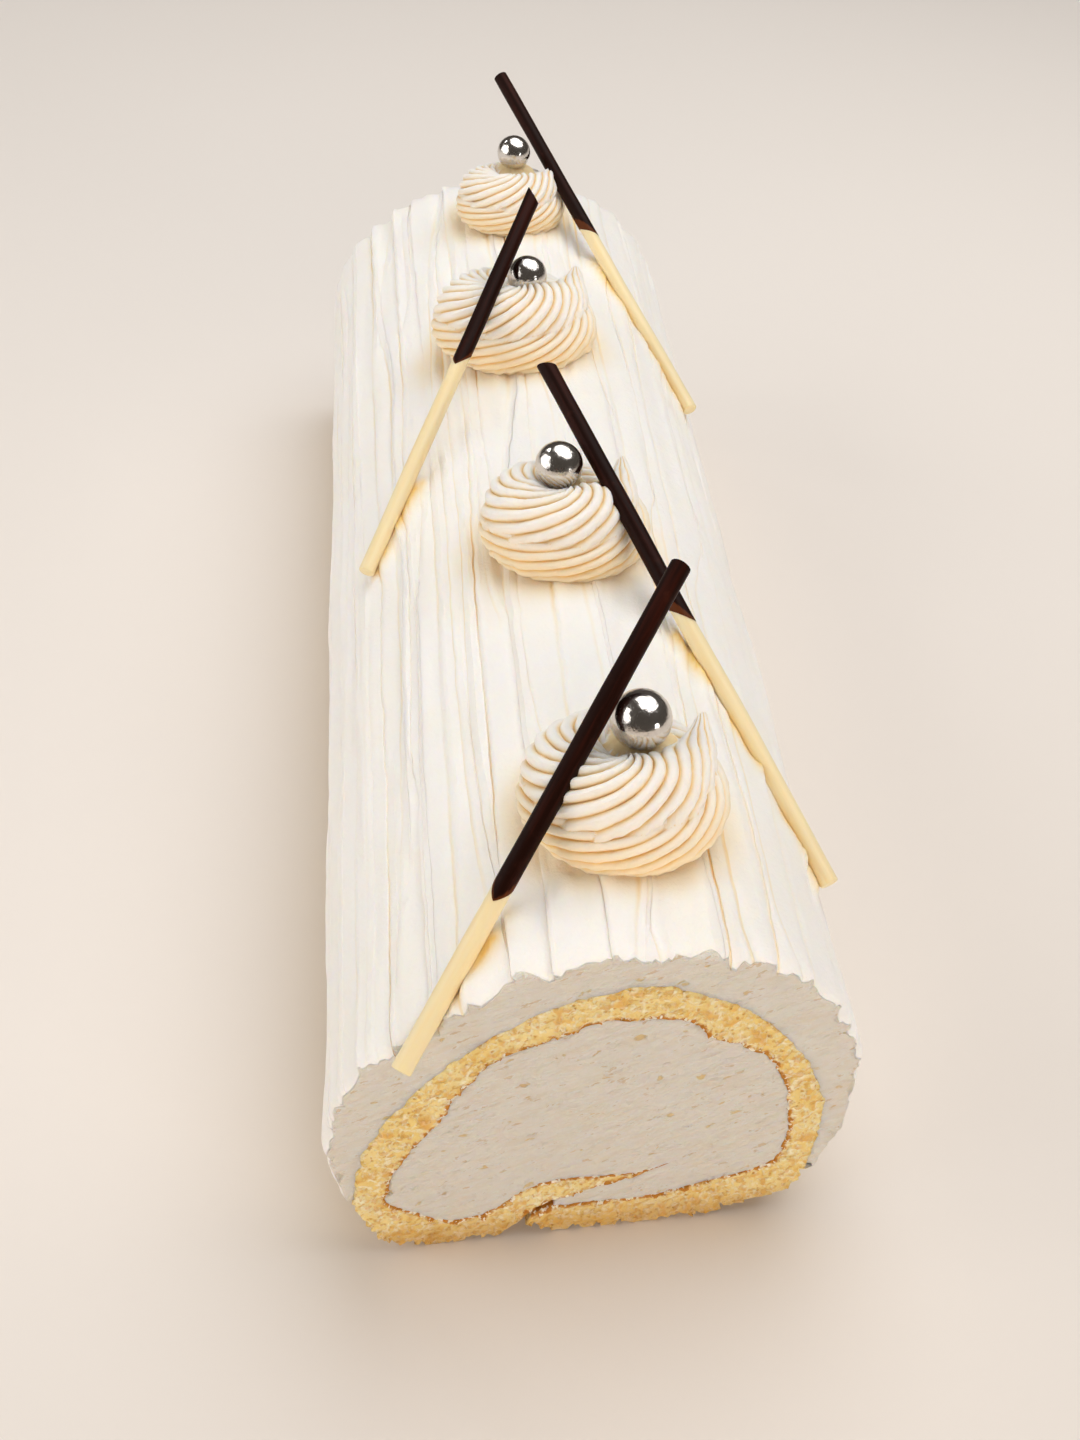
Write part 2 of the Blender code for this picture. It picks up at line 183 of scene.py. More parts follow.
arch = smooth_line(COAT_ARCH)
arch_side = side_of(arch)
arch_along = distances_along(arch)
ARCH_LENGTH = arch_along[-1]
print("coat arch", round(ARCH_LENGTH / MM, 1), "mm round")

# %% [markdown]
# ## Helpers for meshes
#
# Soft food has no straight edges, so its unevenness comes from smooth noise: random heights on a
# square lattice, blended between, and seeded so that each run gives the same roll.
#
# A cut face is a flat outline, filled with small triangles by way of loose points inside it. Those
# points are then pushed in or out for crumb and pits.

# %% Noise and meshes
LATTICE = (67, 71)
SOFTEN = np.hanning(9) / np.hanning(9).sum()  # weights that soften a row of values
STRAY = 0.38  # how far loose points stray from their grid, as a share of its spacing
KEEP_OFF = 0.55  # how far they stay from the outline, as a share of the spacing


def noise(x, y, seed):
    """Smooth noise from -1 to 1, with features one unit apart."""
    heights = np.random.RandomState(seed).uniform(-1, 1, LATTICE)
    column, row = np.floor(x).astype(int), np.floor(y).astype(int)
    across, down = (part * part * (3 - 2 * part) for part in (x - column, y - row))
    columns, rows = LATTICE
    corner = [[heights[(column + i) % columns, (row + j) % rows] for j in (0, 1)] for i in (0, 1)]
    near = corner[0][0] * (1 - across) + corner[1][0] * across
    far = corner[0][1] * (1 - across) + corner[1][1] * across
    return near * (1 - down) + far * down


def ripple(x, lane, seed):
    """Noise along a line. Each lane has a ripple of its own."""
    return noise(x, np.full_like(x, lane), seed)


def layered(x, y, layers):
    """Noises added up, each with its height, its sizes along x and y, and its seed."""
    return sum(height * noise(x / wide, y / long, seed) for height, wide, long, seed in layers)


def pick(piece):
    """Makes a piece the only selected one."""
    bpy.ops.object.select_all(action="DESELECT")
    piece.select_set(True)
    bpy.context.view_layer.objects.active = piece


def keep_on_points(piece, mark, values, kind="FLOAT", field="value"):
    """Values kept on a mesh's points, for a material to read."""
    piece.data.attributes.new(mark, kind, "POINT").data.foreach_set(field, values)


def make_mesh(name, vertices, faces, marks=None, crease=45):
    """A mesh object at the origin, smooth but for creases sharper than an angle in degrees."""
    mesh = bpy.data.meshes.new(name)
    mesh.from_pydata(np.asarray(vertices).tolist(), [], faces)
    made = bpy.data.objects.new(name, mesh)
    for mark, values in (marks or {}).items():
        keep_on_points(made, mark, values)
    bpy.context.scene.collection.objects.link(made)
    pick(made)
    bpy.ops.object.mode_set(mode="EDIT")
    bpy.ops.mesh.select_all(action="SELECT")
    bpy.ops.mesh.normals_make_consistent(inside=False)
    bpy.ops.object.mode_set(mode="OBJECT")
    bpy.ops.object.shade_smooth_by_angle(angle=math.radians(crease))
    triangles = sum(len(face.vertices) - 2 for face in mesh.polygons)
    print(name, len(mesh.vertices), "points,", triangles, "triangles")
    return made


def ring_quads(rings, width):
    """The faces between closed rings of the same width."""
    faces = []
    for ring in range(rings - 1):
        for index in range(width):
            here, after = ring * width + index, ring * width + (index + 1) % width
            faces.append((here, after, after + width, here + width))
    return faces


def tree_of(points):
    """A tree that finds the nearest of some points, which may be flat ones."""
    tree = kdtree.KDTree(len(points))
    for index, point in enumerate(points):
        tree.insert((*point, 0)[:3], index)
    tree.balance()
    return tree


def inside(points, outline):
    """Which points lie in the closed outline."""
    found = np.zeros(len(points), bool)
    for start, end in zip(outline, np.roll(outline, -1, axis=0)):
        crosses = (start[1] > points[:, 1]) != (end[1] > points[:, 1])
        if crosses.any():
            slope = (end[0] - start[0]) / (end[1] - start[1])
            found ^= crosses & (points[:, 0] < start[0] + (points[:, 1] - start[1]) * slope)
    return found


def fill_outline(outline, spacing, seed):
    """Loose points in an outline, and the triangles that fill it with them."""
    low, high = outline.min(axis=0), outline.max(axis=0)
    grid = np.meshgrid(*(np.arange(a, b, spacing) for a, b in zip(low, high)))
    loose = np.stack(grid, -1).reshape(-1, 2)
    loose = loose + np.random.RandomState(seed).uniform(-STRAY, STRAY, loose.shape) * spacing
    loose = loose[inside(loose, outline)]
    rim = tree_of(outline)
    loose = loose[[rim.find((*point, 0))[2] > KEEP_OFF * spacing for point in loose]]
    every = [Vector(point) for point in np.vstack([outline, loose])]
    result = geometry.delaunay_2d_cdt(every, [], [list(range(len(outline)))], 1, 1e-7)
    origin = [found[0] if found else -1 for found in result[3]]
    faces = [[origin[corner] for corner in face] for face in result[2]]
    return loose, [face for face in faces if min(face) >= 0 and len(set(face)) == 3]


def with_cuts(points, faces, rims, cuts):
    """A body closed by its two cuts: points, faces, and 1 for each point that is on a cut.

    A rim lists the points round a cut. A cut has a spacing in millimetres, a seed and a relief.
    """
    cut = np.zeros(len(points))
    for share, (rim, (spacing, seed, relief)) in enumerate(zip(rims, cuts)):
        loose, triangles = fill_outline(points[rim][:, [0, 2]], spacing * MM, seed)
        numbers = [*rim, *range(len(points), len(points) + len(loose))]
        faces += [tuple(numbers[corner] for corner in face) for face in triangles]
        pushed = carried(loose, share)
        pushed[:, 1] += relief(*loose.T / MM) * MM * (1 if share else -1)
        points = np.vstack([points, pushed])
        cut[rim] = 1
        cut = np.append(cut, np.ones(len(loose)))
    return points, faces, cut


patch = noise(*np.meshgrid(np.arange(0, 30, 0.1), np.arange(0, 30, 0.1)), 1)
print("noise from", round(patch.min(), 2), "to", round(patch.max(), 2))

# %% [markdown]
# ## Where the toppings stand
#
# Each rosette, ball and stick has one row in a table, in millimetres. The coat needs them too,
# because it is pressed up along each stick, with a painted glow there, and gets a painted warm shade
# beside a rosette.

# %% Places of the toppings
# x, distance from the front cut, radius, stretch across, direction of the tip in degrees, twist
ROSETTES = (
    (4.0, 33.5, 17.4, 1.06, 35, 1.10),
    (1.4, 113.0, 16.8, 1.06, 42, 0.90),
    (-2.9, 196.0, 18.2, 1.11, 37, 1.35),
    (0.8, 262.8, 14.4, 1.04, 32, 1.05),
)
# x, distance from the front cut, height, radius
BALLS = (
    (6.5, 37.1, 95.1, 5.3), (-0.1, 115.5, 93.8, 4.9), (-0.2, 197.0, 93.3, 4.7), (1.7, 268.3, 92.6, 4.4),
)
# Dark end, white end, dark length, side in degrees where the dark nib reaches on
STICKS = (
    ((13.7, 54.5, 114.2), (-34.6, -7.4, 60.3), 64.6, 100),
    ((-1.5, 137.4, 104.1), (44.8, 34.0, 56.5), 65.6, 135),
    ((2.3, 212.9, 107.0), (-39.3, 125.0, 59.9), 52.8, 85),
    ((-0.2, 301.5, 100.3), (41.7, 190.3, 60.8), 65.1, 145),
)
STICK_RADIUS = 1.85 * MM
print(len(ROSETTES), "rosettes,", len(STICKS), "sticks")

# %% [markdown]
# ## The combed coat
#
# A comb pulled along the roll leaves overlapping strips. Each is highest at its lower edge, a crisp
# or soft lip over the next strip, and dips under its upper neighbour. Thinner strips run inside
# the wide ones, start and end along the way, and merge with a neighbour.
#
# A Screw or an Array would repeat one strip, but real strips wander, widen, fade and tear. So the
# surface is a grid that follows the strips, with a fixed number of points across each one.

# %% Strips of the coat
STRIP_EDGES = (
    8, 15, 22, 30, 38.5, 46.5, 54, 61, 70, 76.5, 86.5, 98.8, 106.5, 116, 125, 134.5, 140.5, 146,
    153.5, 163, 171,
)
FLANK_STEP = 0.9 * MM
TOP_STEP = 2.7 * MM
EDGE_WANDER = 0.9 * MM
ONE_THIN_STRIP, TWO_THIN_STRIPS = 6.8 * MM, 11 * MM  # a wide strip's width for one or two at most
APEX = arch_along[arch[:, 1].argmax()]

draw = random.Random(11)
strip_edges = np.array([0, *(edge * MM for edge in STRIP_EDGES), ARCH_LENGTH])
strip_waves = np.array([(draw.uniform(0, 6.28), draw.uniform(0, 6.28)) for _ in strip_edges])
strip_depths = np.array([draw.uniform(0.8, 1.2) for _ in strip_edges])

# Height across a wide strip, from its lower edge to the next one, as shares of width and step
PROFILE = np.array((
    (0, 0.44), (0.06, 0.5), (0.18, 0.46), (0.35, 0.33), (0.5, 0.16), (0.65, -0.04), (0.8, -0.24),
    (0.93, -0.42), (1, -0.5),
))
# Points at a strip's lower edge: distance in millimetres, and height as a share of the step
LIP = ((-0.50, -0.48), (-0.22, -0.34), (0.05, 0.04), (0.38, 0.36), (1.0, 0.5))
REST_OF_STRIP = (0.42, 0.62, 0.82)
# How close thin strips come to the wide strip's lower edge, to each other and to its upper edge
LOWER_ROOM, ROOM_BETWEEN, UPPER_ROOM = 0.6 * MM, 0.7 * MM, 0.9 * MM
# The groove mark left at a step's foot paints warm shade there.
DEEP_GROOVE, THIN_GROOVE = 2 * MM, 1.3 * MM  # steps that leave a full groove mark at their foot

draw = random.Random(37)
thin_strips = []
for start, end in zip(strip_edges, strip_edges[1:]):
    count = 1 if end - start < ONE_THIN_STRIP else 2 if end - start < TWO_THIN_STRIPS else 3
    thin_strips.append([
        {
            "place": (number + 1 + draw.uniform(-0.2, 0.2)) / (count + 1),
            "step": draw.uniform(0.2, 0.7) * MM,
            "middle": draw.uniform(0.0, 1.0),
            "half": draw.uniform(0.22, 0.6),
            "joins": draw.choice((-1, 1)),
            "seed": draw.randrange(1000),
        }
        for number in range(count)
    ])
print("strips", len(thin_strips), "wide and", sum(map(len, thin_strips)), "thin")


def strip_edge(index, share):
    """An edge's distance along the arch at each share of the length."""
    if index in (0, len(strip_edges) - 1):
        return np.full_like(share, strip_edges[index])
    slow, quick = strip_waves[index]
    drift = np.sin(5.5 * share + slow) - math.sin(slow)
    sway = np.sin(19 * share + quick) - math.sin(quick)
    torn = ripple(share * 60, index * 3.3, 5) * np.minimum(share * 30, 1)
    fine = ripple(share * 190, index * 3.3, 6)
    wander = EDGE_WANDER * (0.7 * drift + 0.35 * sway)
    return strip_edges[index] + wander + (0.2 * torn + 0.08 * fine) * MM


def arch_at(distance):
    """Points and outward directions at distances along the arch."""
    place, outward = (
        np.stack([np.interp(distance, arch_along, values[:, axis]) for axis in (0, 1)], -1)
        for values in (arch, arch_side)
    )
    return place, outward / np.linalg.norm(outward, axis=-1, keepdims=True)


def strip_step(index, share, middle):
    """How far a wide strip stands above the one that it overlaps, along its length."""
    rising = np.clip((arch_at(middle)[1][..., 1] - 0.1) / 0.4, 0, 1)
    fade = 0.85 + 0.15 * np.cos(7 * share + strip_waves[index][1])
    settled = 0.3 + 0.3 * np.exp(-share * 24) + 0.4 * np.exp((share - 1) * 20)
    uneven = 1 + 0.6 * ripple(share * 11, index * 5.1, 7)
    step = (FLANK_STEP + (TOP_STEP - FLANK_STEP) * rising) * strip_depths[index]
    return step * fade * settled * uneven


def thin_edge(strip, share):
    """A thin strip's edge, as a share of the wide strip's width, and its step."""
    lane = strip["seed"] * 1.7
    away = np.abs(share - strip["middle"]) / strip["half"]
    merging = np.clip((away - 0.6) / 0.4, 0, 1)
    merging = merging * merging * (3 - 2 * merging)
    meets = 0.5 + 0.38 * strip["joins"]
    place = strip["place"] + 0.10 * ripple(share * 5, lane, 12) + 0.015 * ripple(share * 45, lane, 13)
    place = place * (1 - merging) + meets * merging
    step = strip["step"] * (1 - merging**3) * (1 + 0.5 * ripple(share * 16, lane, 14))
    return place, step


def wide_strip(index, share):
    """A wide strip's points, from its lower edge up: distances, heights and groove depths."""
    start, end = strip_edge(index, share), strip_edge(index + 1, share)
    width = end - start
    step = strip_step(index, share, (start + end) / 2)
    thin = [thin_edge(strip, share) for strip in thin_strips[index]]
    thin.sort(key=lambda pair: pair[0].mean())
    places, previous = [], LOWER_ROOM / width
    for place, _ in thin:
        place = np.maximum(place, previous + ROOM_BETWEEN / width)
        places.append(np.minimum(place, 1 - UPPER_ROOM / width))
        previous = places[-1]
    edges = [0 * width, *(place * width for place in places), width]
    steps = [step, *(thin_step for _, thin_step in thin)]
    softness = 1.25 + 0.5 * ripple(share * 10, index * 4.7, 8)
    rows = []
    for number, (lower, upper) in enumerate(zip(edges, edges[1:])):
        points = [(lower + offset * softness * MM, rise) for offset, rise in LIP]
        points += [(lower + (upper - lower) * part, None) for part in REST_OF_STRIP]
        for distance, rise in points:
            if number == 0 and rise is not None:
                height, groove = step * rise, np.clip(-2 * rise * step / DEEP_GROOVE, 0, 1)
            else:
                height = step * np.interp(distance / width, *PROFILE.T)
                groove = 0 * width
            for other in range(1, len(steps)):
                beyond = distance - edges[other]
                if other == number and rise is not None:
                    height = height + steps[other] * rise
                    groove = np.clip(-2 * rise * steps[other] / THIN_GROOVE, 0, 1)
                else:
                    over = 0.5 * np.exp(-np.maximum(beyond - 1.0 * MM, 0) / (2.4 * MM))
                    under = -0.48 * np.exp(np.minimum(beyond + 0.5 * MM, 0) / (1.1 * MM))
                    height = height + steps[other] * np.where(beyond > 0, over, under)
            rows.append((distance, height, groove))
    return rows


# %% [markdown]
# The strips are laid side by side over the arch. They overlap downwards on both sides of the top,
# so those on the right are turned round. Fine scratches, left by trapped air and the comb's teeth,
# and soft lumps are added.

# %% The coat's grid
STATIONS = 178
POINT_ROOM = 0.012 * MM  # how close two points across the coat may come
FOOT_RADIUS = 1.6 * MM
SCRATCHES = 240
# Lumps: height, size across and along the roll in millimetres, and seed
LUMPS = ((0.34, 8, 27, 31), (0.44, 2.3, 30, 33), (0.13, 2.6, 5, 32), (0.12, 1.3, 40, 34))


def stations(count):
    """Shares along the roll, closest at the cuts and near the front."""
    bent = np.linspace(0, 1, count - 6) ** 1.2
    bent = bent[(bent > 0.0052) & (bent < 0.9965)]
    return np.concatenate([[0, 0.0007, 0.0017, 0.0032], bent, [0.9975, 0.999, 1]])


def coat_surface(share):
    """Distance along the arch, height and groove depth at every point of the coat's grid."""
    columns = []
    for index in range(len(strip_edges) - 1):
        start, end = strip_edge(index, share), strip_edge(index + 1, share)
        left = strip_edges[index] + strip_edges[index + 1] < 2 * APEX
        rows = wide_strip(index, share)
        for up_strip, height, groove in rows if left else rows[::-1]:
            columns.append((start + up_strip if left else end - up_strip, height, groove))
    flat = 0 * share
    for foot in (0, -1):
        columns[foot] = (columns[foot][0], flat, columns[foot][2])
    columns.append((strip_edge(len(strip_edges) - 1, share), flat, flat))
    distances, heights, grooves = np.array(columns).transpose(1, 2, 0)
    room = POINT_ROOM * np.arange(len(columns))
    distances = np.clip(distances, room, ARCH_LENGTH - room[::-1])
    for column, before in zip(distances.T[1:], distances.T):
        np.maximum(column, before + POINT_ROOM, out=column)
    return distances, heights, grooves


def scratches(distances, share):
    """Fine lines along the strips: how deep they are at every point."""
    depth = np.zeros_like(distances)
    draw = random.Random(23)
    for _ in range(SCRATCHES):
        middle, centre = draw.uniform(4, 178) * MM, draw.uniform(-0.05, 1.05)
        half, slant = draw.uniform(0.01, 0.12), draw.uniform(-1, 1) * MM
        wide, deep = draw.uniform(0.3, 0.9) * MM, draw.uniform(0.08, 0.32) * MM
        across = distances - middle - (slant * (share - centre) / half)[:, None]
        across = across - 0.3 * MM * ripple(share * 40, middle * 900, 9)[:, None]
        ends = np.clip(1.2 - np.abs(share - centre) / half, 0, 1)[:, None]
        depth += deep * ends * np.exp(-((across / wide) ** 2))
    return depth


shares = stations(STATIONS)
distances, heights, grooves = coat_surface(shares)
across_rows = distances / MM
lumps = layered(across_rows, shares[:, None] * ROLL_LENGTH / MM, LUMPS)
heights = heights + lumps * MM - scratches(distances, shares)
from_foot = np.clip(np.minimum(distances, ARCH_LENGTH - distances), 0, FOOT_RADIUS)
heights = heights - FOOT_RADIUS + np.sqrt(FOOT_RADIUS**2 - (FOOT_RADIUS - from_foot) ** 2)
print("coat grid", heights.shape)

# %% [markdown]
# Where a stick lies on the coat, it pushes the cream into small peaks on the side nearer the
# front. The warm yellow that light gives those peaks is painted on as a glow, and the grooves round
# a rosette get a painted warm shade; both are kept on the points for the cream's finish. At the
# two cuts, the knife leaves the coat's edge torn in small scallops.

# %% Cream round the toppings and at the cuts
# Scallops: height as a share, size across the coat in millimetres, 1, and seed
SCALLOPS = ((0.8, 3.1, 1, 171), (0.5, 1.3, 1, 172), (0.25, 0.7, 1, 173))
SCALLOP_DEPTH = 1.1 * MM


def coat_place(heights):
    """Points of the coat's surface."""
    place, outward = arch_at(distances)
    return carried(place + outward * heights[..., None], shares[:, None])


coat_points = coat_place(heights)
outward = arch_at(distances)[1]
outward = np.stack([outward[..., 0], 0 * distances, outward[..., 1]], -1)
pressed = np.zeros_like(heights)
painted_glow_and_shade = np.zeros_like(heights)
for number, (dark_end, white_end, *_) in enumerate(STICKS):
    start, end = (np.array(from_front(*place)) for place in (dark_end, white_end))
    length = np.linalg.norm(end - start)
    along = (end - start) / length
    reach = (coat_points - start) @ along
    away = coat_points - start - reach[..., None] * along
    rising = outward - (outward @ along)[..., None] * along
    rising /= np.linalg.norm(rising, axis=-1, keepdims=True)
    # How far each point is above and beside the stick's middle line, in stick radii
    over = (away * rising).sum(-1) / STICK_RADIUS
    beside = (away * np.cross(along, rising)).sum(-1) / STICK_RADIUS
    clear = np.clip(np.abs(beside) - 1, 0, None)
    near_side = np.clip(0.5 + 0.5 * beside * np.sign(along[0]), 0.2, 1)
    touches = np.clip((over + 2.5) / 0.8, 0, 1) * (over < 2) * (np.abs(beside) < 4)
    touches *= np.clip(reach / MM, 0, 1) * np.clip((length - reach) / MM + 0.7, 0, 1)
    below = np.clip(-np.sqrt(np.clip(1 - beside**2, 0, 1)) - over, -2, 1.2)
    peaks = 0.45 + 0.5 * ripple(reach / (3.5 * MM), 3.3 * number, 161)
    beside_it = np.clip(peaks - 0.2 - over, 0, 1.3) * np.exp(-clear / 0.45) * near_side
    pressed += np.where(np.abs(beside) < 1, below, beside_it) * touches * STICK_RADIUS
    # Painted glow on the cream peaks beside the stick.
    painted_glow_and_shade += 2.2 * touches * np.exp(-clear / 0.5) * near_side * np.clip(peaks, 0, 1)
for x, from_cut, radius, stretch, *_ in ROSETTES:
    away = coat_points - from_front(x, from_cut, 0)
    off = np.maximum(np.hypot(away[..., 0] / stretch, away[..., 1]) / MM - radius, 0)
    # Painted warm shade round the rosette's foot and in its grooves.
    painted_glow_and_shade += 0.3 * np.exp(-((off / 3.5) ** 2)) + 0.65 * grooves * np.exp(-((off / 12) ** 2))
# A little painted warm shade in every groove of the coat.
painted_glow_and_shade = np.clip(painted_glow_and_shade + 0.12 * grooves, 0, 1)
pressed[1:-1] = pressed[:-2] / 4 + pressed[1:-1] / 2 + pressed[2:] / 4
pressed = np.apply_along_axis(np.convolve, 1, pressed, SOFTEN, "same")
at_cut = (np.minimum(shares, 1 - shares) * ROLL_LENGTH / MM)[:, None]
scallops = layered(across_rows, 0 * across_rows, SCALLOPS)
rounded = (0.9 + 0.6 * scallops) * np.exp(-at_cut / 1.1) * MM
coat_points = coat_place(heights + pressed - rounded)
torn = SCALLOP_DEPTH * scallops * np.exp(-at_cut / 1.8)
coat_points[..., 1] += np.where(shares[:, None] < 0.5, -torn, torn)
print("pressed up by", round(pressed.max() / MM, 2), "mm at most")

# %% [markdown]
# The coat's other faces are its two cuts, its feet and the lining, which follows the sponge's own
# uneven outline. The cuts are uneven too, because a knife drags soft cream. The lining is out of
# sight, so it only needs a ring at each end.

# %% Coat
LINING_GAP = 0.03 * MM
SPONGE_SHOWS_BELOW = (17.1, 13.1)  # millimetres up, on the left and on the right


def dragged_cream(x, z):
    """How far a knife pulled the cream out of its cut, all in millimetres."""
    return layered(x, z, ((0.2, 7, 5, 41), (0.24, 2.6, 1.2, 42)))


def uneven_line(points_mm, seed):
    """A smooth curve that wanders by a fraction of a millimetre, but not at its ends."""
    line = smooth_line(points_mm)
    along = np.arange(len(line)) * POINT_SPACING
    wobble = layered(along, 0 * along, ((0.40, 3.1, 1, seed), (0.26, 1.1, 1, seed + 1)))
    wobble *= np.clip(along / 4, 0, 1) * np.clip((along[-1] - along) / 4, 0, 1)
    return line + side_of(line) * (wobble * MM)[:, None]


def coat_body(outer, lining):
    """The coat's points and faces without its cuts, and the points round each cut."""
    rows, width = outer.shape[:2]
    near, far = rows * width, rows * width + len(lining)
    faces = []
    for row in range(rows - 1):
        for here in range(row * width, (row + 1) * width - 1):
            faces.append((here, here + width, here + width + 1, here + 1))
    for index in range(len(lining) - 1):
        faces.append((near + index, near + index + 1, far + index + 1, far + index))
    for foot, end in ((0, 0), (width - 1, len(lining) - 1)):
        for row in range(rows - 1):
            faces.append((foot + row * width, foot + (row + 1) * width, near + end))
        faces.append((foot + (rows - 1) * width, far + end, near + end))
    points = np.vstack([outer.reshape(-1, 3), carried(lining, 0), carried(lining, 1)])
    rims = [
        [*range(row * width, (row + 1) * width), *range(start + len(lining) - 1, start - 1, -1)]
        for row, start in ((0, near), (rows - 1, far))
    ]
    return points, faces, rims


sponge_outline = uneven_line(SPONGE_OUTSIDE, 84)
sponge_outline[:, 1] = np.maximum(sponge_outline[:, 1], 0)
covered = sponge_outline[:, 1] > np.where(sponge_outline[:, 0] < 0, *SPONGE_SHOWS_BELOW) * MM
lining = (sponge_outline + side_of(sponge_outline) * LINING_GAP)[covered]
coat_cuts = ((0.7, 51, dragged_cream), (0.9, 52, dragged_cream))
points, faces, cut = with_cuts(*coat_body(coat_points, lining), coat_cuts)
marks = {"groove": grooves, "painted_glow_and_shade": painted_glow_and_shade, "cut": cut}
marks = {mark: np.pad(values.ravel(), (0, len(points) - values.size)) for mark, values in marks.items()}
coat = make_mesh("cream_coat_combed", points, faces, marks, 50)
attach(coat, "root")
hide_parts("cream_coat")

# %% [markdown]
# ## Sponge and filling
#
# Both are one outline carried from cut to cut. The edge between them wanders by a fraction of a
# millimetre, because baked sponge never spreads evenly. On the cuts, the sponge's torn crumb is
# real relief: rounded lumps with pores between them. Its bare lower edge is ragged, and has lost a
# few crumbs at the cuts.

# %% Sponge and filling
FILLING_GAP = 0.05 * MM
FILLING_STARTS_AT_X = -6.5 * MM
FILLING_TIP = (14.45 * MM, 18.62 * MM)
RAGGED_BELOW = 19 * MM
FLAT_UNDERSIDE = 20 * MM  # the sponge's underside is flat out to this x


def pore_depth(x, z):
    """How deep in a pore of the crumb each place is, all in millimetres."""
    wide, small = noise(x / 1.5, z / 1.3, 63), noise(x / 0.8, z / 0.75, 64)
    return 1.2 * np.clip(wide - 0.42, 0, 1) + 1.0 * np.clip(small - 0.30, 0, 1)


def crumb(x, z):
    """Torn crumb: how far it sinks into the cut, with pores and lumps."""
    return layered(x, z, ((0.25, 2.4, 2.1, 61), (0.25, 1.05, 1.1, 62))) + pore_depth(x, z)


def smeared(x, z):
    """The filling's cut: slight ridges and dents where the knife dragged it."""
    along, across = 0.92 * x + 0.39 * z, 0.92 * z - 0.39 * x
    dents = np.clip(noise(along / 2.2, across / 1.2, 73) - 0.4, 0, 1)
    return 0.25 * noise(x / 9, z / 6, 71) + 0.26 * noise(along / 3.5, across / 1.1, 72) + 1.0 * dents


def tube(outline, rows, cuts, rough=lambda ring, share: 0):
    """A closed outline carried along the roll, with its two cuts."""
    rings, width = [], len(outline)
    for share in np.linspace(0, 1, rows):
        ring = outline + rough(outline, share)
        ring[:, 1] = np.maximum(ring[:, 1], 0)
        rings.append(carried(ring, share))
    rims = [list(range(row * width, (row + 1) * width)) for row in (0, rows - 1)]
    return with_cuts(np.vstack(rings), ring_quads(rows, width), rims, cuts)


def ragged(ring, share):
    """Crumbs that stand out of the sponge's bare lower edge."""
    low = np.clip((RAGGED_BELOW - ring[:, 1]) / (4 * MM), 0, 1)
    outside = np.arange(len(ring)) < len(sponge_outline)
    along = np.arange(len(ring)) * POINT_SPACING
    rough = 0.7 * ripple(along / 1.3, share * 190, 83) + 0.5 * ripple(along / 0.7, share * 400, 89)
    away = np.column_stack([np.sign(ring[:, 0]), np.full(len(ring), -0.4)])
    keep = np.abs(ring[:, 0]) >= FLAT_UNDERSIDE
    moved = away * (rough * low * outside * keep * MM)[:, None]
    if share in (0, 1):
        lost = np.clip(ripple(along / 1.2, 0, 96) + 0.4 * ripple(along / 0.6, 0, 97), 0, 1)
        moved[:, 1] += 1.7 * MM * lost * outside * (ring[:, 1] < 2 * MM)
    return moved


def shrunk(line):
    """A line moved in by the gap between the filling and the sponge."""
    return line + side_of(line) * FILLING_GAP


inner_line = uneven_line(SPONGE_INSIDE, 81)
under_line = uneven_line(TONGUE_UNDERSIDE, 87)
sponge_loop = np.vstack([sponge_outline, inner_line, under_line[1:]])
points, faces, cut = tube(sponge_loop, 64, ((0.42, 91, crumb), (0.55, 92, crumb)), ragged)
crust_tree = tree_of(np.vstack([inner_line, under_line]))
crust = np.array([crust_tree.find((x, z, 0))[2] for x, _, z in points]) / MM
pore = pore_depth(points[:, 0] / MM, points[:, 2] / MM) * cut
sponge = make_mesh("sponge_sheet", points, faces, {"crust": crust, "cut": cut, "pore": pore}, 60)
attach(sponge, "root")
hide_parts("sponge")

keep = (inner_line[:, 0] > FILLING_STARTS_AT_X) | (np.arange(len(inner_line)) > len(inner_line) // 3)
over = shrunk(inner_line[keep])
under = shrunk(under_line[under_line[:, 0] > FILLING_STARTS_AT_X])
filling_loop = np.vstack([over[:-1], [FILLING_TIP], under[1:]])
points, faces, cut = tube(filling_loop, 3, ((0.48, 93, smeared), (0.8, 94, smeared)))
filling = make_mesh("filling_cream", points, faces, {"groove": cut * 0, "cut": cut}, 60)
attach(filling, "root")
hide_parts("filling")

# %% [markdown]
# ## Rosettes
#
# A rosette is a rope of cream from a star nozzle, with round ridges and narrow grooves. Spin would
# make a ring that never rises, so the rope is lofted: a ridged section is carried along a closing
# and rising spiral, twisted a little at each station. A thin lower turn comes first. The thick
# upper turn stands out over it, with a ragged edge, and ends in a drawn-out tip. Three lengths of
# rope and a ridged heart under the ball are then joined by a Boolean.

# %% Rosettes
# Degrees before the tip, reach, thickness and height of the rope's core, as shares of the radius
ROPE_WAY = np.array((
    (-640, 0.80, 0.20, 0.16), (-590, 0.98, 0.33, 0.20), (-485, 1.00, 0.31, 0.19),
    (-400, 1.00, 0.33, 0.20), (-350, 1.00, 0.37, 0.25), (-290, 0.98, 0.43, 0.30),
    (-215, 0.95, 0.47, 0.37), (-150, 0.87, 0.47, 0.43), (-105, 0.82, 0.45, 0.46),
    (-65, 0.80, 0.42, 0.47), (-30, 0.86, 0.33, 0.50), (-12, 0.95, 0.22, 0.56), (0, 1.02, 0.09, 0.68),
))
RIDGES = 15
RIDGE_DEPTH = 0.15
RIDGE_PLACES = np.array((0, 0.05, 0.15, 0.31, 0.5, 0.69, 0.85, 0.95))
STATION = 2.5  # degrees
FOOT, HEART_WIDTH, HEART_LENGTH = 0.2, 0.60, 0.58  # of the heart, in rosette radii
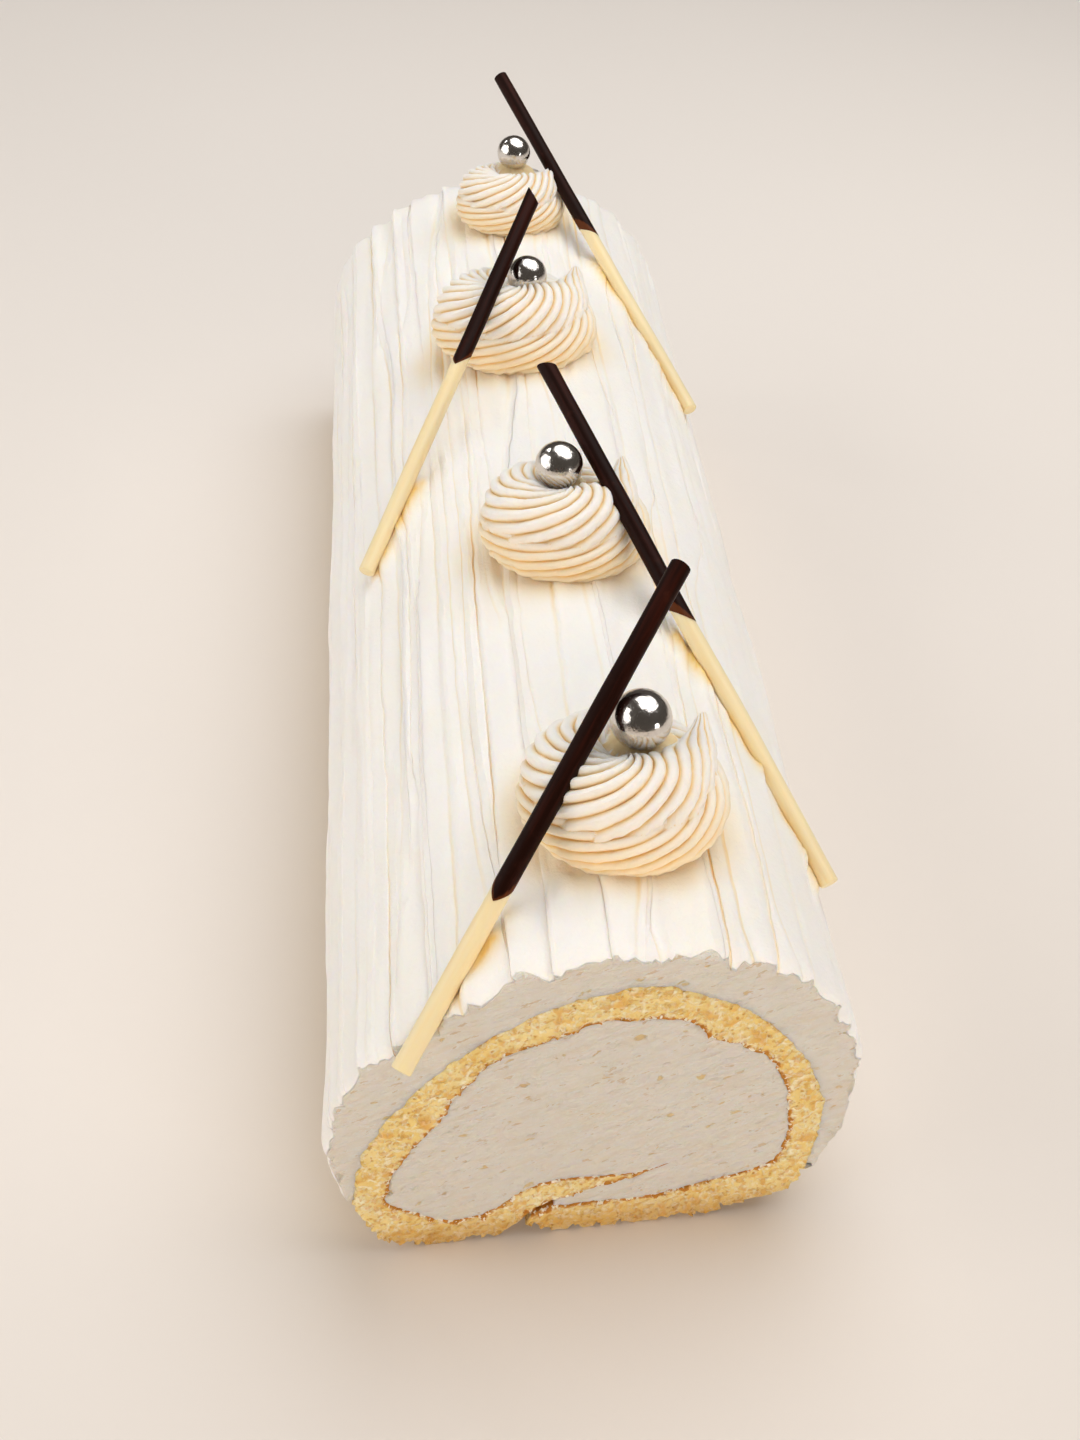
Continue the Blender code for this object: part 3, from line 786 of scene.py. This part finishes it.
HEART_TOP = 0.65  # how far below the ball's middle, in ball radii
# The heart gets a fixed groove mark, which paints warm shade on it.
ON_ROPE, HEART_SHADE_MARK = 0.3 * MM, 0.75  # points further off the rope are the heart's
# Painted warm shade on a rosette's foot: how high it reaches and how strong it is.
FOOT_SHADE_HEIGHT, FOOT_SHADE_SHARE = 0.36, 0.45  # height in rosette radii, and how warm

around = (np.arange(RIDGES)[:, None] + RIDGE_PLACES).ravel() / RIDGES * 2 * math.pi
crest = np.tile(np.abs(np.sin(math.pi * RIDGE_PLACES)) ** 0.8, RIDGES)


def top_of_arch(x):
    """The height of the bare arch at x."""
    upper = (arch[:, 1] > 50 * MM) & (np.gradient(arch[:, 0]) > 0)
    return float(np.interp(x, arch[upper, 0], arch[upper, 1]))


def rope_rings(number, degrees):
    """The rope's sections at degrees before its tip, and how deep in a groove each point is."""
    x, distance, radius, stretch, tip_direction, twist = ROSETTES[number]
    radius *= MM
    base = np.array(from_front(x, distance, 0))
    base[2] = top_of_arch(base[0])
    even = np.arange(-660, 40, 4)
    sharp = np.clip((degrees + 30) / 20, 0, 1)
    reach, thickness, height = (
        np.interp(degrees, even, np.convolve(np.pad(straight, 4, "edge"), SOFTEN, "valid")) * (1 - sharp)
        + np.interp(degrees, even, straight) * sharp
        for straight in (np.interp(even, ROPE_WAY[:, 0], way) for way in ROPE_WAY.T[1:])
    )
    angle = np.radians(tip_direction + degrees)
    outward = np.stack([np.cos(angle) * stretch, np.sin(angle), 0 * angle], -1)
    centre = base + outward * ((reach - thickness) * radius)[:, None]
    centre[:, 2] += height * radius
    section = around + twist * np.radians(degrees)[:, None]
    along = np.radians(degrees)[:, None] * reach.mean() * radius / MM + 0 * section
    depth = RIDGE_DEPTH * (1 + 0.45 * noise(along / 7, section * 2.4, 101 + number))
    size = 1 - depth * (1 - crest) + 0.014 * noise(along / 0.9, section * 6, 111 + number)
    size = size + 0.035 * noise(along / 5, section * 1.1, 121 + number)
    low = np.clip(np.cos(section + 0.7), 0, 1) ** 3 * np.clip((degrees[:, None] + 250) / 80, 0.45, 1)
    size = size + low * (0.07 + 0.15 * noise(along / 1.4, section * 4, 131 + number))
    size = size * thickness[:, None] * radius
    across = np.maximum(np.cos(section) * size, -((reach - thickness - 0.03) * radius)[:, None])
    points = centre[:, None] + outward[:, None] * across[..., None]
    points[..., 2] += np.sin(section) * size
    return points, (1 - crest) ** 1.2 + 0 * section


def closed_rope(name, rings):
    """A closed body through the rings."""
    count, width = rings.shape[:2]
    ends = [tuple(range(width - 1, -1, -1)), tuple(range((count - 1) * width, count * width))]
    return make_mesh(name, rings.reshape(-1, 3), ring_quads(count, width) + ends)


def make_heart(number, foot):
    """The ridged cream between the rope and the ball."""
    x, distance, z, ball_radius = BALLS[number]
    radius = ROSETTES[number][2] * MM
    bpy.ops.mesh.primitive_uv_sphere_add(segments=96, ring_count=32, radius=1)
    heart = bpy.context.object
    for vertex in heart.data.vertices:
        turn = math.atan2(vertex.co.y, vertex.co.x)
        ridge = abs(math.sin(5.5 * turn + 4 * vertex.co.z + number)) ** 0.6
        vertex.co.x *= 0.92 + 0.08 * ridge
        vertex.co.y *= 0.92 + 0.08 * ridge
    rise = (z - HEART_TOP * ball_radius) * MM - foot
    size = Matrix.Diagonal((HEART_WIDTH * radius, HEART_LENGTH * radius, rise, 1))
    heart.data.transform(Matrix.Translation(from_front(x, distance, foot / MM)) @ size)
    return heart


def join_bodies(kept, others):
    """One body from several that overlap."""
    for other in others:
        union = kept.modifiers.new("union", "BOOLEAN")
        union.operation, union.solver, union.object = "UNION", "MANIFOLD", other
        pick(kept)
        bpy.ops.object.modifier_apply(modifier="union")
        bpy.data.objects.remove(other)


def make_rosette(number):
    """One piped rosette on the coat."""
    degrees = np.append(np.arange(-640, -12, STATION), [-12, -9, -6, -4, -2, -1, 0])
    rings, groove = rope_rings(number, degrees)
    third = len(rings) // 3
    rope = closed_rope(f"piped_rosette_{number + 1}", rings[:third + 1])
    middle = closed_rope("middle", rings[third - 1:2 * third + 1])
    last = closed_rope("last", rings[2 * third - 1:])
    radius = ROSETTES[number][2] * MM
    foot = top_of_arch(ROSETTES[number][0] * MM) + FOOT * radius
    join_bodies(rope, [middle, last, make_heart(number, foot)])
    tree, known = tree_of(rings.reshape(-1, 3)), groove.ravel()
    nearest = [tree.find(vertex.co) for vertex in rope.data.vertices]
    marks = [known[index] if away < ON_ROPE else HEART_SHADE_MARK for _, index, away in nearest]
    keep_on_points(rope, "groove", marks)
    heights = np.array([vertex.co.z for vertex in rope.data.vertices])
    # Painted warm shade on the rosette's lower part, where less light reaches.
    painted_foot_shade = FOOT_SHADE_SHARE * np.clip(1 - (heights - foot) / (FOOT_SHADE_HEIGHT * radius), 0, 1)
    keep_on_points(rope, "painted_glow_and_shade", painted_foot_shade)
    pick(rope)
    bpy.ops.object.shade_smooth_by_angle(angle=math.radians(70))
    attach(rope, "root")
    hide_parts(f"rosette_{number + 1}")
    print(rope.name, len(rope.data.vertices), "points after the union")
    return rope


rosettes = [make_rosette(number) for number in range(len(ROSETTES))]

# %% [markdown]
# ## Silver balls
#
# Silvered sugar balls are never perfectly round. A UV sphere gets shallow dents from noise, and the
# finish adds finer ones.

# %% Silver balls
def make_ball(number):
    """One silvered sugar ball, a little uneven."""
    x, distance, z, radius = BALLS[number]
    bpy.ops.mesh.primitive_uv_sphere_add(segments=72, ring_count=36, radius=1)
    ball = bpy.context.object
    ball.name = ball.data.name = f"sugar_ball_{number + 1}"
    centre = from_front(x, distance, z)
    for vertex in ball.data.vertices:
        way = vertex.co.normalized()
        dent = noise(way.x * 1.7 + 9, way.y * 1.7 + way.z * 1.3 + 7 * number, 141)
        vertex.co = centre + way * radius * MM * (1 + 0.006 * float(dent))
    bpy.ops.object.shade_smooth()
    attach(ball, "root")
    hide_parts(f"ball_{number + 1}")
    return ball


balls = [make_ball(number) for number in range(len(BALLS))]
print(len(balls), "silver balls, the first", round(BALLS[0][3] * 2, 1), "mm across")

# %% [markdown]
# ## Chocolate sticks
#
# A white half comes out of a dark one, whose end is cut by two slanted planes that meet in a point,
# like a pen's nib. A cylinder is cut by those planes, its rims are rounded with a bevel, and rings
# along it let it wander slightly.

# %% Chocolate sticks
# Slope of the dark end, the side that it slopes away from, in degrees, and its rim's radius
STICK_TOPS = ((0.25, 280, 1.2), (0.5, 150, 1.0), (1.1, 165, 0.5), (0.3, 60, 0.3))
NIB_SLOPE = 2.0
KEEL = 0.9  # how far the nib's two planes lean apart
WHITE_SHARE = 0.96  # the white half's radius, as a share of the dark half's
NIB_RIM, SEAM_RIM, TIP_RIM = 0.12, 0.05, 0.3  # millimetres
SIDES, RINGS = 40, 60


def stick_frame(number):
    """Where a stick's dark end is, with its axis as Z, and how long it is."""
    dark_end, white_end = (from_front(*place) for place in STICKS[number][:2])
    forward = (white_end - dark_end).normalized()
    side = forward.cross(Vector((0, 0, 1))).normalized()
    turned = Matrix((side.cross(forward), side, forward)).transposed().to_4x4()
    return Matrix.Translation(dark_end) @ turned, (white_end - dark_end).length


def select_edges(piece, wanted):
    """Selects the edges that pass a test, in edit mode."""
    bpy.ops.mesh.select_all(action="DESELECT")
    for edge in bmesh.from_edit_mesh(piece.data).edges:
        if wanted(edge):
            edge.select = True
    bmesh.update_edit_mesh(piece.data)


def stick_piece(name, number, radius, start, end, keel=0):
    """A round piece between two ends, each with its place, slope, side and rim radius."""
    reach = end[0] - start[0] + 12 * radius
    middle = (start[0] + end[0]) / 2
    bpy.ops.mesh.primitive_cylinder_add(
        vertices=SIDES, radius=radius, depth=reach, location=(0, 0, middle))
    piece = bpy.context.object
    piece.name = piece.data.name = name
    bpy.ops.object.transform_apply()
    bpy.ops.object.mode_set(mode="EDIT")
    bpy.ops.mesh.select_mode(type="EDGE")
    select_edges(piece, lambda edge: abs(edge.verts[0].co.z - edge.verts[1].co.z) > radius)
    bpy.ops.mesh.subdivide(number_cuts=RINGS)
    cuts = [(*start, 0, "inner"), *((*end, lean, "outer") for lean in ({keel, -keel}))]
    for place, slope, facing, _, lean, side in sorted(cuts):
        sine, cosine = math.sin(math.radians(facing)), math.cos(math.radians(facing))
        point = (radius * sine, radius * cosine, place + slope * radius)
        normal = (-slope * sine + lean * cosine, -slope * cosine - lean * sine, 1)
        bpy.ops.mesh.select_all(action="SELECT")
        bpy.ops.mesh.bisect(plane_co=point, plane_no=normal, use_fill=True,
                            clear_inner=side == "inner", clear_outer=side == "outer")
    for rim, upper in ((start[3], False), (end[3], True)):
        select_edges(piece, lambda edge: any(
            len(face.verts) > 12 and (face.calc_center_median().z > middle) == upper
            for face in edge.link_faces
        ))
        bpy.ops.mesh.bevel(offset=rim * MM, segments=4, affect="EDGES", clamp_overlap=True)
    bpy.ops.mesh.select_all(action="SELECT")
    bpy.ops.mesh.remove_doubles(threshold=1e-6)
    bpy.ops.mesh.normals_make_consistent(inside=False)
    bpy.ops.object.mode_set(mode="OBJECT")
    way, thin = [], []
    sine, cosine = math.sin(math.radians(end[2])), math.cos(math.radians(end[2]))
    for vertex in piece.data.vertices:
        x, y, z = vertex.co
        left = end[0] + end[1] * (x * sine + y * cosine) - keel * abs(x * cosine - y * sine) - z
        thin.append(math.exp(-max(left, 0) / (1.2 * MM)))
        swell = 1 + 0.025 * float(noise(z / MM / 9, 3.0 * number, 151))
        sway = [0.12 * MM * float(noise(z / MM / 21, 5.0 * number + lane, 152)) for lane in (0, 9)]
        vertex.co = (x * swell + sway[0], y * swell + sway[1], z)
        way += [vertex.co.x, vertex.co.y, z * 0.06]
    keep_on_points(piece, "streak", way, "FLOAT_VECTOR", "vector")
    keep_on_points(piece, "thin", thin)
    piece.data.transform(stick_frame(number)[0])
    pick(piece)
    bpy.ops.object.shade_smooth_by_angle(angle=math.radians(50))
    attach(piece, "root")
    return piece


sticks = []
for number, (_, _, dark_length, facing) in enumerate(STICKS):
    length = stick_frame(number)[1]
    change = dark_length * MM - NIB_SLOPE * STICK_RADIUS
    slope, *top = STICK_TOPS[number]
    top = (0.5 * slope * STICK_RADIUS, slope, *top)
    nib = (change, NIB_SLOPE, facing, NIB_RIM)
    seam = (change - KEEL * STICK_RADIUS, NIB_SLOPE, facing, SEAM_RIM)
    tip = (length, 0, 0, TIP_RIM)
    dark = stick_piece(f"dark_stick_{number + 1}", number, STICK_RADIUS, top, nib, KEEL)
    white = stick_piece(f"white_stick_{number + 1}", number, WHITE_SHARE * STICK_RADIUS, seam, tip)
    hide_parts(f"stick_{number + 1}_dark")
    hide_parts(f"stick_{number + 1}_white")
    sticks.append((dark, white))
    print(dark.name, round(length / MM), "mm long with its white half")

# %% [markdown]
# ## Finishes
#
# Each finish is one Principled shader. A small class wraps a socket, so that shader maths can be
# written as sums and products. Whatever varies over a surface feeds only the colour, the roughness
# or a Bump node. A finish starts from a plain colour, and tints are laid over it one by one.

# %% Shader helpers
def colour(seen):
    """A colour as seen on a screen, from 0 to 255, in the light values that shaders use."""
    light = [value / 255 for value in seen]
    light = [v / 12.92 if v < 0.04045 else ((v + 0.055) / 1.055) ** 2.4 for v in light]
    return (*light, 1)


class Part:
    """A node's output. Sums and products of these add the Math nodes they need."""

    def __init__(self, finish, socket):
        self.finish, self.socket = finish, socket

    def math(self, operation, first, second):
        return self.finish.node("ShaderNodeMath", {"operation": operation}, {0: first, 1: second})

    def __add__(self, other):
        return self.math("ADD", self, other)

    def __mul__(self, other):
        return self.math("MULTIPLY", self, other)

    def __sub__(self, other):
        return self.math("SUBTRACT", self, other)

    def __rsub__(self, other):
        return self.math("SUBTRACT", other, self)

    def most(self, other):
        return self.math("MAXIMUM", self, other)

    def ramp(self, low, high):
        """0 below low, 1 above high, and a smooth rise between."""
        settings = {"interpolation_type": "SMOOTHSTEP"}
        return self.finish.node("ShaderNodeMapRange", settings, {0: self, 1: low, 2: high})


class Finish:
    """A material with one Principled shader, and the nodes that feed it."""

    def __init__(self, name, base, fixed):
        self.material = bpy.data.materials.new(name)
        self.material.use_nodes = True
        self.tree = self.material.node_tree
        self.shader = self.tree.nodes["Principled BSDF"]
        self.place = self.node("ShaderNodeTexCoord", {}, {}, "Object")
        self.base = colour(base)
        for socket, value in fixed.items():
            self.shader.inputs[socket].default_value = value

    def node(self, kind, settings, inputs, output=0):
        """Any node, with its settings set and its sockets given values or links."""
        made = self.tree.nodes.new(kind)
        for name, value in settings.items():
            setattr(made, name, value)
        for socket, value in inputs.items():
            if isinstance(value, Part):
                self.tree.links.new(value.socket, made.inputs[socket])
            else:
                made.inputs[socket].default_value = value
        return Part(self, made.outputs[output])

    def noise(self, scale, detail=3, roughness=0.5, where=None, stretch=None, turn=0, output=0):
        """Noise with features about 1/scale metres apart, turned and stretched where asked."""
        where = where or self.place
        if stretch:
            turned = {"Vector": where, "Rotation": (0, math.radians(turn), 0)}
            where = self.node("ShaderNodeMapping", {}, turned)
            where = self.node("ShaderNodeMapping", {}, {"Vector": where, "Scale": stretch})
        values = {"Vector": where, "Scale": scale, "Detail": detail, "Roughness": roughness}
        return self.node("ShaderNodeTexNoise", {}, values, output)

    def mark(self, name, output="Fac"):
        """A value kept on the mesh's points."""
        return self.node("ShaderNodeAttribute", {"attribute_name": name}, {}, output)

    def tint(self, share, shade):
        """Lays a colour over the base colour, by a share that may vary."""
        inputs = {0: share, 6: self.base, 7: colour(shade)}
        settings = {"data_type": "RGBA", "clamp_factor": True}
        self.base = self.node("ShaderNodeMix", settings, inputs, 2)

    def feed(self, socket, value):
        self.tree.links.new(value.socket, self.shader.inputs[socket])

    def bump(self, height, distance):
        """Bump of a real height in metres."""
        inputs = {"Strength": 1.0, "Distance": distance, "Height": height}
        self.feed("Normal", self.node("ShaderNodeBump", {}, inputs))

    def paint(self, *pieces):
        """Feeds the base colour, and gives the finish to the pieces."""
        self.feed("Base Color", self.base)
        for piece in pieces:
            piece.data.materials.clear()
            piece.data.materials.append(self.material)
        print(self.material.name, "on", len(pieces), "pieces,", len(self.tree.nodes), "nodes")


# %% [markdown]
# Whipped cream lets light in and gives it back warmer, so its grooves look creamy yellow and not
# grey. Subsurface scattering does part of that, and the rest is painted: a warm shade in the
# grooves and at a rosette's foot, and a glow beside the sticks, from values kept on the points. The
# piped cream is painted a little darker, as shade. On a cut, the knife leaves faint fibres, nicks
# and small pits; the nicks get a painted bright rim and painted shade, and the pits painted shade.

# %% Cream
# Name, share of painted warm shade in the grooves, depth of light in millimetres, two near whites,
# the painted groove shade's colour, and the pieces
CREAMS = (
    ("combed_cream", 0.5, 1.5, (254, 248, 242), (253, 243, 231), (251, 228, 180), [coat]),
    # The piped cream's whites and groove colour are darker than the combed cream's: painted shade.
    ("piped_cream_painted_shade", 1.0, 1.8, (246, 242, 236), (245, 238, 226), (240, 214, 162), rosettes),
    ("filling_cream", 0.0, 0.8, (255, 249, 244), (254, 245, 236), (251, 228, 180), [filling]),
)
for name, groove_shade_share, depth, pale, creamy, low, pieces in CREAMS:
    cream = Finish(name, pale, {
        "Roughness": 0.5, "IOR": 1.4, "Subsurface Weight": 0.6, "Subsurface Scale": depth * MM,
        "Subsurface Radius": (1.0, 0.8, 0.55), "Specular IOR Level": 0.35,
    })
    cut = cream.mark("cut")
    cream.tint(cream.noise(55, 2).ramp(0.35, 0.7) * 0.4, creamy)
    # Painted warm shade in the grooves.
    cream.tint(cream.mark("groove").ramp(0.1, 0.9) * groove_shade_share, low)
    # Painted glow beside the sticks and painted warm shade near the rosettes, kept on the points.
    cream.tint(cream.mark("painted_glow_and_shade"), (249, 210, 130))
    cream.tint(cut * 0.5, (255, 243, 230))
    fibres = cream.noise(330, 5, 0.65, turn=24, stretch=(0.4, 1, 1.9))
    cream.tint(fibres.ramp(0.42, 0.68) * cut * 0.4, (246, 228, 206))
    # Nicks on the cut: a painted bright rim and painted shade inside, in place of their relief's
    # shading.
    painted_nick_light = cream.noise(620, 3, 0.6, turn=24, stretch=(0.5, 1, 1.6))
    cream.tint(painted_nick_light.ramp(0.56, 0.61) * cut * 0.8, (255, 250, 244))
    cream.tint(painted_nick_light.ramp(0.62, 0.68) * cut * 0.8, (232, 208, 176))
    pits = cream.noise(300, 3, 0.55, turn=24, stretch=(0.75, 1, 1.3)).ramp(0.66, 0.72) * cut
    # Painted yellow shade in the pits, which also dent the bump below.
    cream.tint(pits * 0.75, (240, 208, 136))
    plaster = cream.noise(700, 5, 0.7, turn=24, stretch=(0.45, 1, 1.6))
    on_cut = (fibres * 3.5 + plaster * 3.0 - pits * 1.5) * cut
    grain, swells = cream.noise(1500, 3, 0.6), cream.noise(420, 3, 0.6)
    cream.bump(on_cut * 1.6 + grain * 0.4 + swells * 0.5, 0.4 * MM)
    cream.paint(*pieces)

# %% [markdown]
# Sponge crumb gets a painted highlight on its lumps and a painted egg-yellow shade inside its
# pores, in place of the shading its relief would give, and is more golden near the floor. Along the
# filling it has the thin brown crust that the oven gave it, broken by specks of cream.

# %% Sponge crumb
GOLDEN_BELOW = (1 * MM, 10 * MM)

crumbs = Finish("sponge_crumb", (241, 222, 162), {
    "Roughness": 0.8, "Subsurface Weight": 0.35, "Subsurface Scale": 1.2 * MM,
    "Subsurface Radius": (1.0, 0.75, 0.4), "Specular IOR Level": 0.25,
})
bent = crumbs.noise(500, 2, 0.5, output=1)
place = crumbs.node("ShaderNodeVectorMath", {"operation": "MULTIPLY_ADD"},
                    {0: bent, 1: (0.8 * MM,) * 3, 2: crumbs.place})
cells = crumbs.node("ShaderNodeTexVoronoi", {}, {"Vector": place, "Scale": 1000, "Randomness": 1.0})
holes = (1 - cells.ramp(0.05, 0.45)) * crumbs.noise(500, 2).ramp(0.46, 0.6)
slits = crumbs.noise(900, 3, 0.55, turn=35, stretch=(0.5, 1, 1.1)).ramp(0.56, 0.63)
pores = (crumbs.mark("pore").ramp(0.05, 0.6) * 0.7).most(holes).most(slits * 0.6)
lumps = crumbs.noise(900, 3, 0.6).ramp(0.45, 0.65)
height = crumbs.node("ShaderNodeSeparateXYZ", {}, {0: crumbs.place}, "Z")
edge = crumbs.mark("crust") + crumbs.noise(600, 3, 0.6) * 3.2 - 1.7
crusty = 1 - edge.ramp(0.2, 0.9)
crumbs.tint(crumbs.noise(140, 2).ramp(0.3, 0.7), (238, 210, 134))
# Painted highlight on the lumps and painted shade in the pores and slits; both masks also feed the bump.
crumbs.tint(lumps * 0.7, (252, 246, 222))
crumbs.tint(pores * 0.9, (222, 162, 64))
crumbs.tint((1 - height.ramp(*GOLDEN_BELOW)) * 0.55, (190, 134, 50))
crumbs.tint(crusty, (196, 132, 52))
crumbs.tint(crusty * crumbs.noise(1100, 2, 0.5).ramp(0.54, 0.58), (255, 246, 226))
crumbs.bump(pores * -1.0 + lumps * 0.6 + crumbs.noise(1900, 3, 0.6) * 0.5, 0.3 * MM)
crumbs.paint(sponge)

# %% [markdown]
# Chocolate has faint streaks along the stick. They follow a value kept on the points, which runs
# slowly along the stick and quickly round it. The dark half's thin rim looks a little lighter.

# %% Chocolate and silver
dark_finish = Finish("dark_chocolate", (27, 8, 3), {"Specular IOR Level": 0.1, "IOR": 1.45})
streaks = dark_finish.noise(900, 3, 0.6, dark_finish.mark("streak", "Vector"))
dark_finish.tint(streaks.ramp(0.4, 0.75) * 0.7, (54, 18, 8))
dark_finish.tint(dark_finish.noise(260, 4, 0.6).ramp(0.55, 0.8) * 0.2, (84, 44, 30))
dark_finish.tint(dark_finish.mark("thin").ramp(0.55, 0.95) * 0.4, (130, 70, 32))
dark_finish.feed("Roughness", streaks * 0.2 + 0.38)
dark_finish.bump(streaks + dark_finish.noise(700, 2) * 0.5, 0.08 * MM)
dark_finish.paint(*(dark for dark, white in sticks))

white_finish = Finish("white_chocolate", (240, 225, 184), {
    "Subsurface Weight": 0.45, "Subsurface Scale": 2.2 * MM, "Subsurface Radius": (1.0, 0.8, 0.4),
    "IOR": 1.45,
})
streaks = white_finish.noise(700, 3, 0.6, white_finish.mark("streak", "Vector"))
white_finish.tint(streaks.ramp(0.35, 0.75) * 0.6, (238, 213, 158))
white_finish.feed("Roughness", streaks * 0.16 + 0.34)
white_finish.bump(streaks + white_finish.noise(600, 2) * 0.5, 0.08 * MM)
white_finish.paint(*(white for dark, white in sticks))

silver_finish = Finish("silver_sugar", (224, 219, 213), {"Metallic": 1.0})
dust = silver_finish.noise(1100, 4, 0.7).ramp(0.5, 0.8)
silver_finish.tint(dust * 0.6, (132, 118, 104))
silver_finish.feed("Roughness", dust * 0.22 + 0.16)
silver_finish.bump(silver_finish.noise(420, 2) + silver_finish.noise(1600, 2) * 0.35, 0.12 * MM)
silver_finish.paint(*balls)

# %% [markdown]
# ## Floor and light
#
# A large soft box overhead lights the coat, and the silver balls show it as a broad patch near
# their tops. A pale wall of light stands on the left. A warm, wide and low one in front lights the
# cut, and reflections leave it out, because it would fill the balls. The dim room gives the balls
# their dark parts, and three small lamps their sparks.

# %% Floor and light
FLOOR_SIZE = 8
AIM = Vector((0, 0, 50 * MM))
WHITE = (1, 1, 1)
# Name, direction from the roll, distance, width, depth, watts and colour
LIGHTS = (
    ("overhead_box", (0.27, 0.24, 0.94), 0.85, 1.25, 0.95, 7.2, WHITE),
    ("left_wall", (-0.93, -0.05, 0.36), 1.2, 1.5, 0.9, 6.2, (1, 0.98, 0.96)),
    ("front_wall", (0.12, -0.96, 0.25), 1.5, 2.6, 0.5, 14.2, (1, 0.86, 0.73)),
    ("left_spark", (-0.74, -0.02, 0.67), 1.6, 0.25, 0.25, 1.0, WHITE),
    ("back_spark", (-0.55, 0.61, 0.58), 1.8, 0.22, 0.22, 1.0, WHITE),
    ("front_spark", (0.70, -0.71, 0.12), 1.8, 0.3, 0.3, 1.3, WHITE),
)

bpy.ops.mesh.primitive_plane_add(size=FLOOR_SIZE)
floor = bpy.context.object
floor.name = "floor"
floor_finish = Finish("pale_floor", (240, 233, 226), {"Roughness": 0.6, "Specular IOR Level": 0.2})
floor_finish.tint(floor_finish.noise(3, 2), (236, 229, 221))
floor_finish.paint(floor)
floor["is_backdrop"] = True

for name, direction, distance, width, depth, watts, tint in LIGHTS:
    data = bpy.data.lights.new(name, "AREA")
    data.shape = "ELLIPSE"
    data.size, data.size_y = width, depth
    data.energy, data.color = watts, tint
    light = bpy.data.objects.new(name, data)
    way = Vector(direction).normalized()
    turned = way.to_track_quat("Z", "Y").to_matrix().to_4x4()
    light.matrix_world = Matrix.Translation(AIM + way * distance) @ turned
    light.visible_glossy = name != "front_wall"
    bpy.context.scene.collection.objects.link(light)

world = bpy.data.worlds.new("dim_room")
world.use_nodes = True
background = world.node_tree.nodes["Background"]
background.inputs["Color"].default_value = colour((255, 240, 226))
background.inputs["Strength"].default_value = 0.075
bpy.context.scene.world = world
bpy.context.scene.view_settings.view_transform = "Standard"
print(len(LIGHTS), "lights")

# %% [markdown]
# ## Size
#
# The finished model's box is printed, as the plain solids' box was at the start. The finished
# model has to fill the same box as the plain solids.

# %% Size and finish
visual_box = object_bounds()
show_box("finished box", visual_box)
